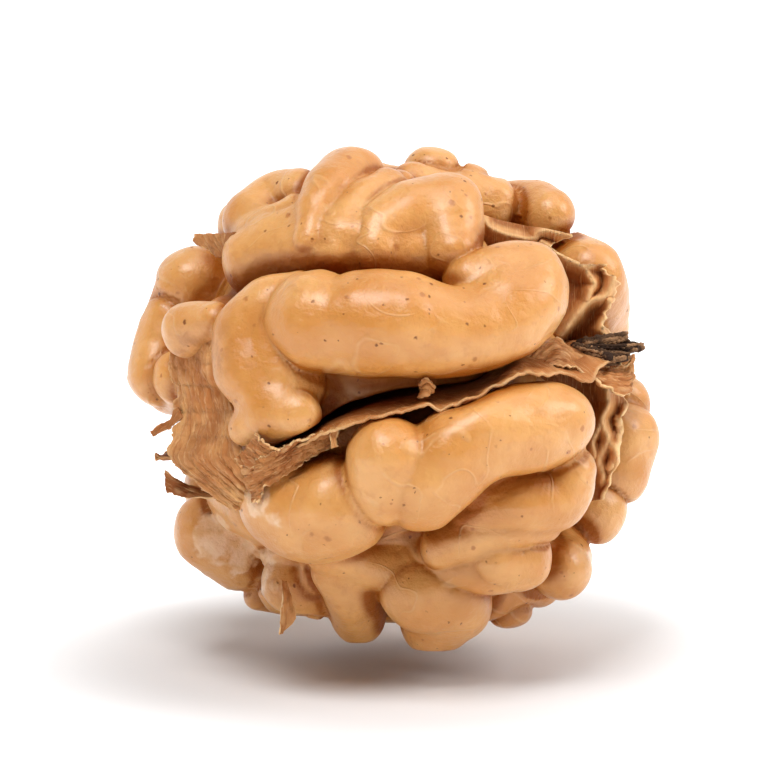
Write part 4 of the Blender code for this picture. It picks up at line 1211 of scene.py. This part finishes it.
class WalnutSettings(PropertyGroup):
    """Sizes in millimetres and linear colours of the kernel."""

    fineness: FloatProperty(name="Fineness", description="Voxel size of the flesh's mesh, mm",
                            default=0.208, min=0.1, max=1.0)
    blend: FloatProperty(name="Groove softness", description="How softly neighbouring folds meet, mm",
                         default=0.24, min=0.05, max=1.0)
    crack_gap: FloatProperty(name="Crack gap", description="Clear height on each side of the partition, mm",
                             default=0.3, min=0.1, max=1.5)
    paper_thickness: FloatProperty(name="Paper thickness", description="Thickness of the partition, mm",
                                   default=0.16, min=0.05, max=0.6)
    skin_pale: colour_property("Pale skin", "Seed coat on the crests", (0.74, 0.37, 0.115))
    skin_ripe: colour_property("Ripe skin", "Seed coat where it is darker", (0.6, 0.24, 0.045))
    # Colour of the painted shade in the grooves and creases, partly the coat's own browner tone there.
    skin_groove_shade: colour_property("Groove skin", "Seed coat in the grooves", (0.36, 0.1, 0.006))
    paper_pale: colour_property("Pale paper", "Partition where it is pale", (0.66, 0.33, 0.12))
    paper_dark: colour_property("Dark paper", "Partition where it is dark", (0.46, 0.17, 0.045))
    # Colour of the painted shade where the partition is shut in, and of its dark random flecks.
    paper_fleck_and_shade: colour_property("Deep paper", "Partition where it is shut in", (0.27, 0.075, 0.012))
    paper_rim: colour_property("Torn paper", "Torn rims and raised fibres", (0.82, 0.52, 0.25))
    wood_dark: colour_property("Dark wood", "Stem fibres", (0.036, 0.015, 0.007))
    wood_tan: colour_property("Tan wood", "Splintered fibres of the stem", (0.50, 0.27, 0.13))


SHARED = {}


def groups():
    """The node groups that the looks share, made when they are first asked for."""
    if not SHARED:
        SHARED.update(clouds=cloud_group(), specks=speck_group(),
                      pleats=pleat_group(), fibres=fibre_group())
    return SHARED


class Step:
    """What the operators share: each hands the settings to its own build()."""

    def execute(self, context):
        self.build(context.scene.walnut)
        return {"FINISHED"}


class WALNUT_OT_flesh(Step, Operator):
    """Build the upper and lower half of the folded flesh."""

    bl_idname = "walnut.flesh"
    bl_label = "Build the flesh"

    def build(self, settings):
        halves = (("kernel_upper", UPPER_FOLDS, 1), ("kernel_lower", LOWER_FOLDS, -1))
        both = [HalfField(folds, side, settings.blend, settings.crack_gap) for name, folds, side in halves]
        skin = skin_material(settings, groups())
        for name, folds, side in halves:
            finish_piece(build_half(name, folds, side, settings, both), "kernel", skin)


class WALNUT_OT_partition(Step, Operator):
    """Build the papery partition: the sheet in the crack, the upright wall and torn shreds."""

    bl_idname = "walnut.partition"
    bl_label = "Build the partition"

    def build(self, settings):
        paper = paper_material(settings, groups())
        for piece in (build_sheet(settings), build_wall(settings), build_shreds(settings)):
            finish_piece(piece, "partition", paper)


class WALNUT_OT_stem(Step, Operator):
    """Build the tuft of woody stem fibres."""

    bl_idname = "walnut.stem"
    bl_label = "Build the stem"

    def build(self, settings):
        wood = wood_material(settings, groups())
        finish_piece(build_stem(), "stem_fibres", wood)


class WALNUT_OT_stage(Step, Operator):
    """Set up the pale sweep, the soft lights and the camera."""

    bl_idname = "walnut.stage"
    bl_label = "Set the stage"

    def build(self, settings):
        build_floor()
        bpy.context.scene.view_settings.view_transform = "Standard"
        add_world(AIR_STRENGTH)
        for name, light in LIGHTS.items():
            add_light(name, *light)
        add_camera()


class WALNUT_PT_panel(Panel):
    """The walnut's steps and settings in the sidebar."""

    bl_label = "Walnut"
    bl_idname = "WALNUT_PT_panel"
    bl_space_type = "VIEW_3D"
    bl_region_type = "UI"
    bl_category = "Walnut"

    def draw(self, context):
        for step in STEPS:
            self.layout.operator(step.bl_idname)
        for name in WalnutSettings.__annotations__:
            self.layout.prop(context.scene.walnut, name)


STEPS = (WALNUT_OT_flesh, WALNUT_OT_partition, WALNUT_OT_stem, WALNUT_OT_stage)
CLASSES = (WalnutSettings, *STEPS, WALNUT_PT_panel)


def register():
    for some_class in CLASSES:
        bpy.utils.register_class(some_class)
    bpy.types.Scene.walnut = PointerProperty(type=WalnutSettings)


def unregister():
    del bpy.types.Scene.walnut
    for some_class in reversed(CLASSES):
        bpy.utils.unregister_class(some_class)


def main():
    register()
    bpy.ops.walnut.flesh()
    bpy.ops.walnut.partition()
    bpy.ops.walnut.stem()
    bpy.ops.walnut.stage()
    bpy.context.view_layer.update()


if __name__ == "__main__":
    main()
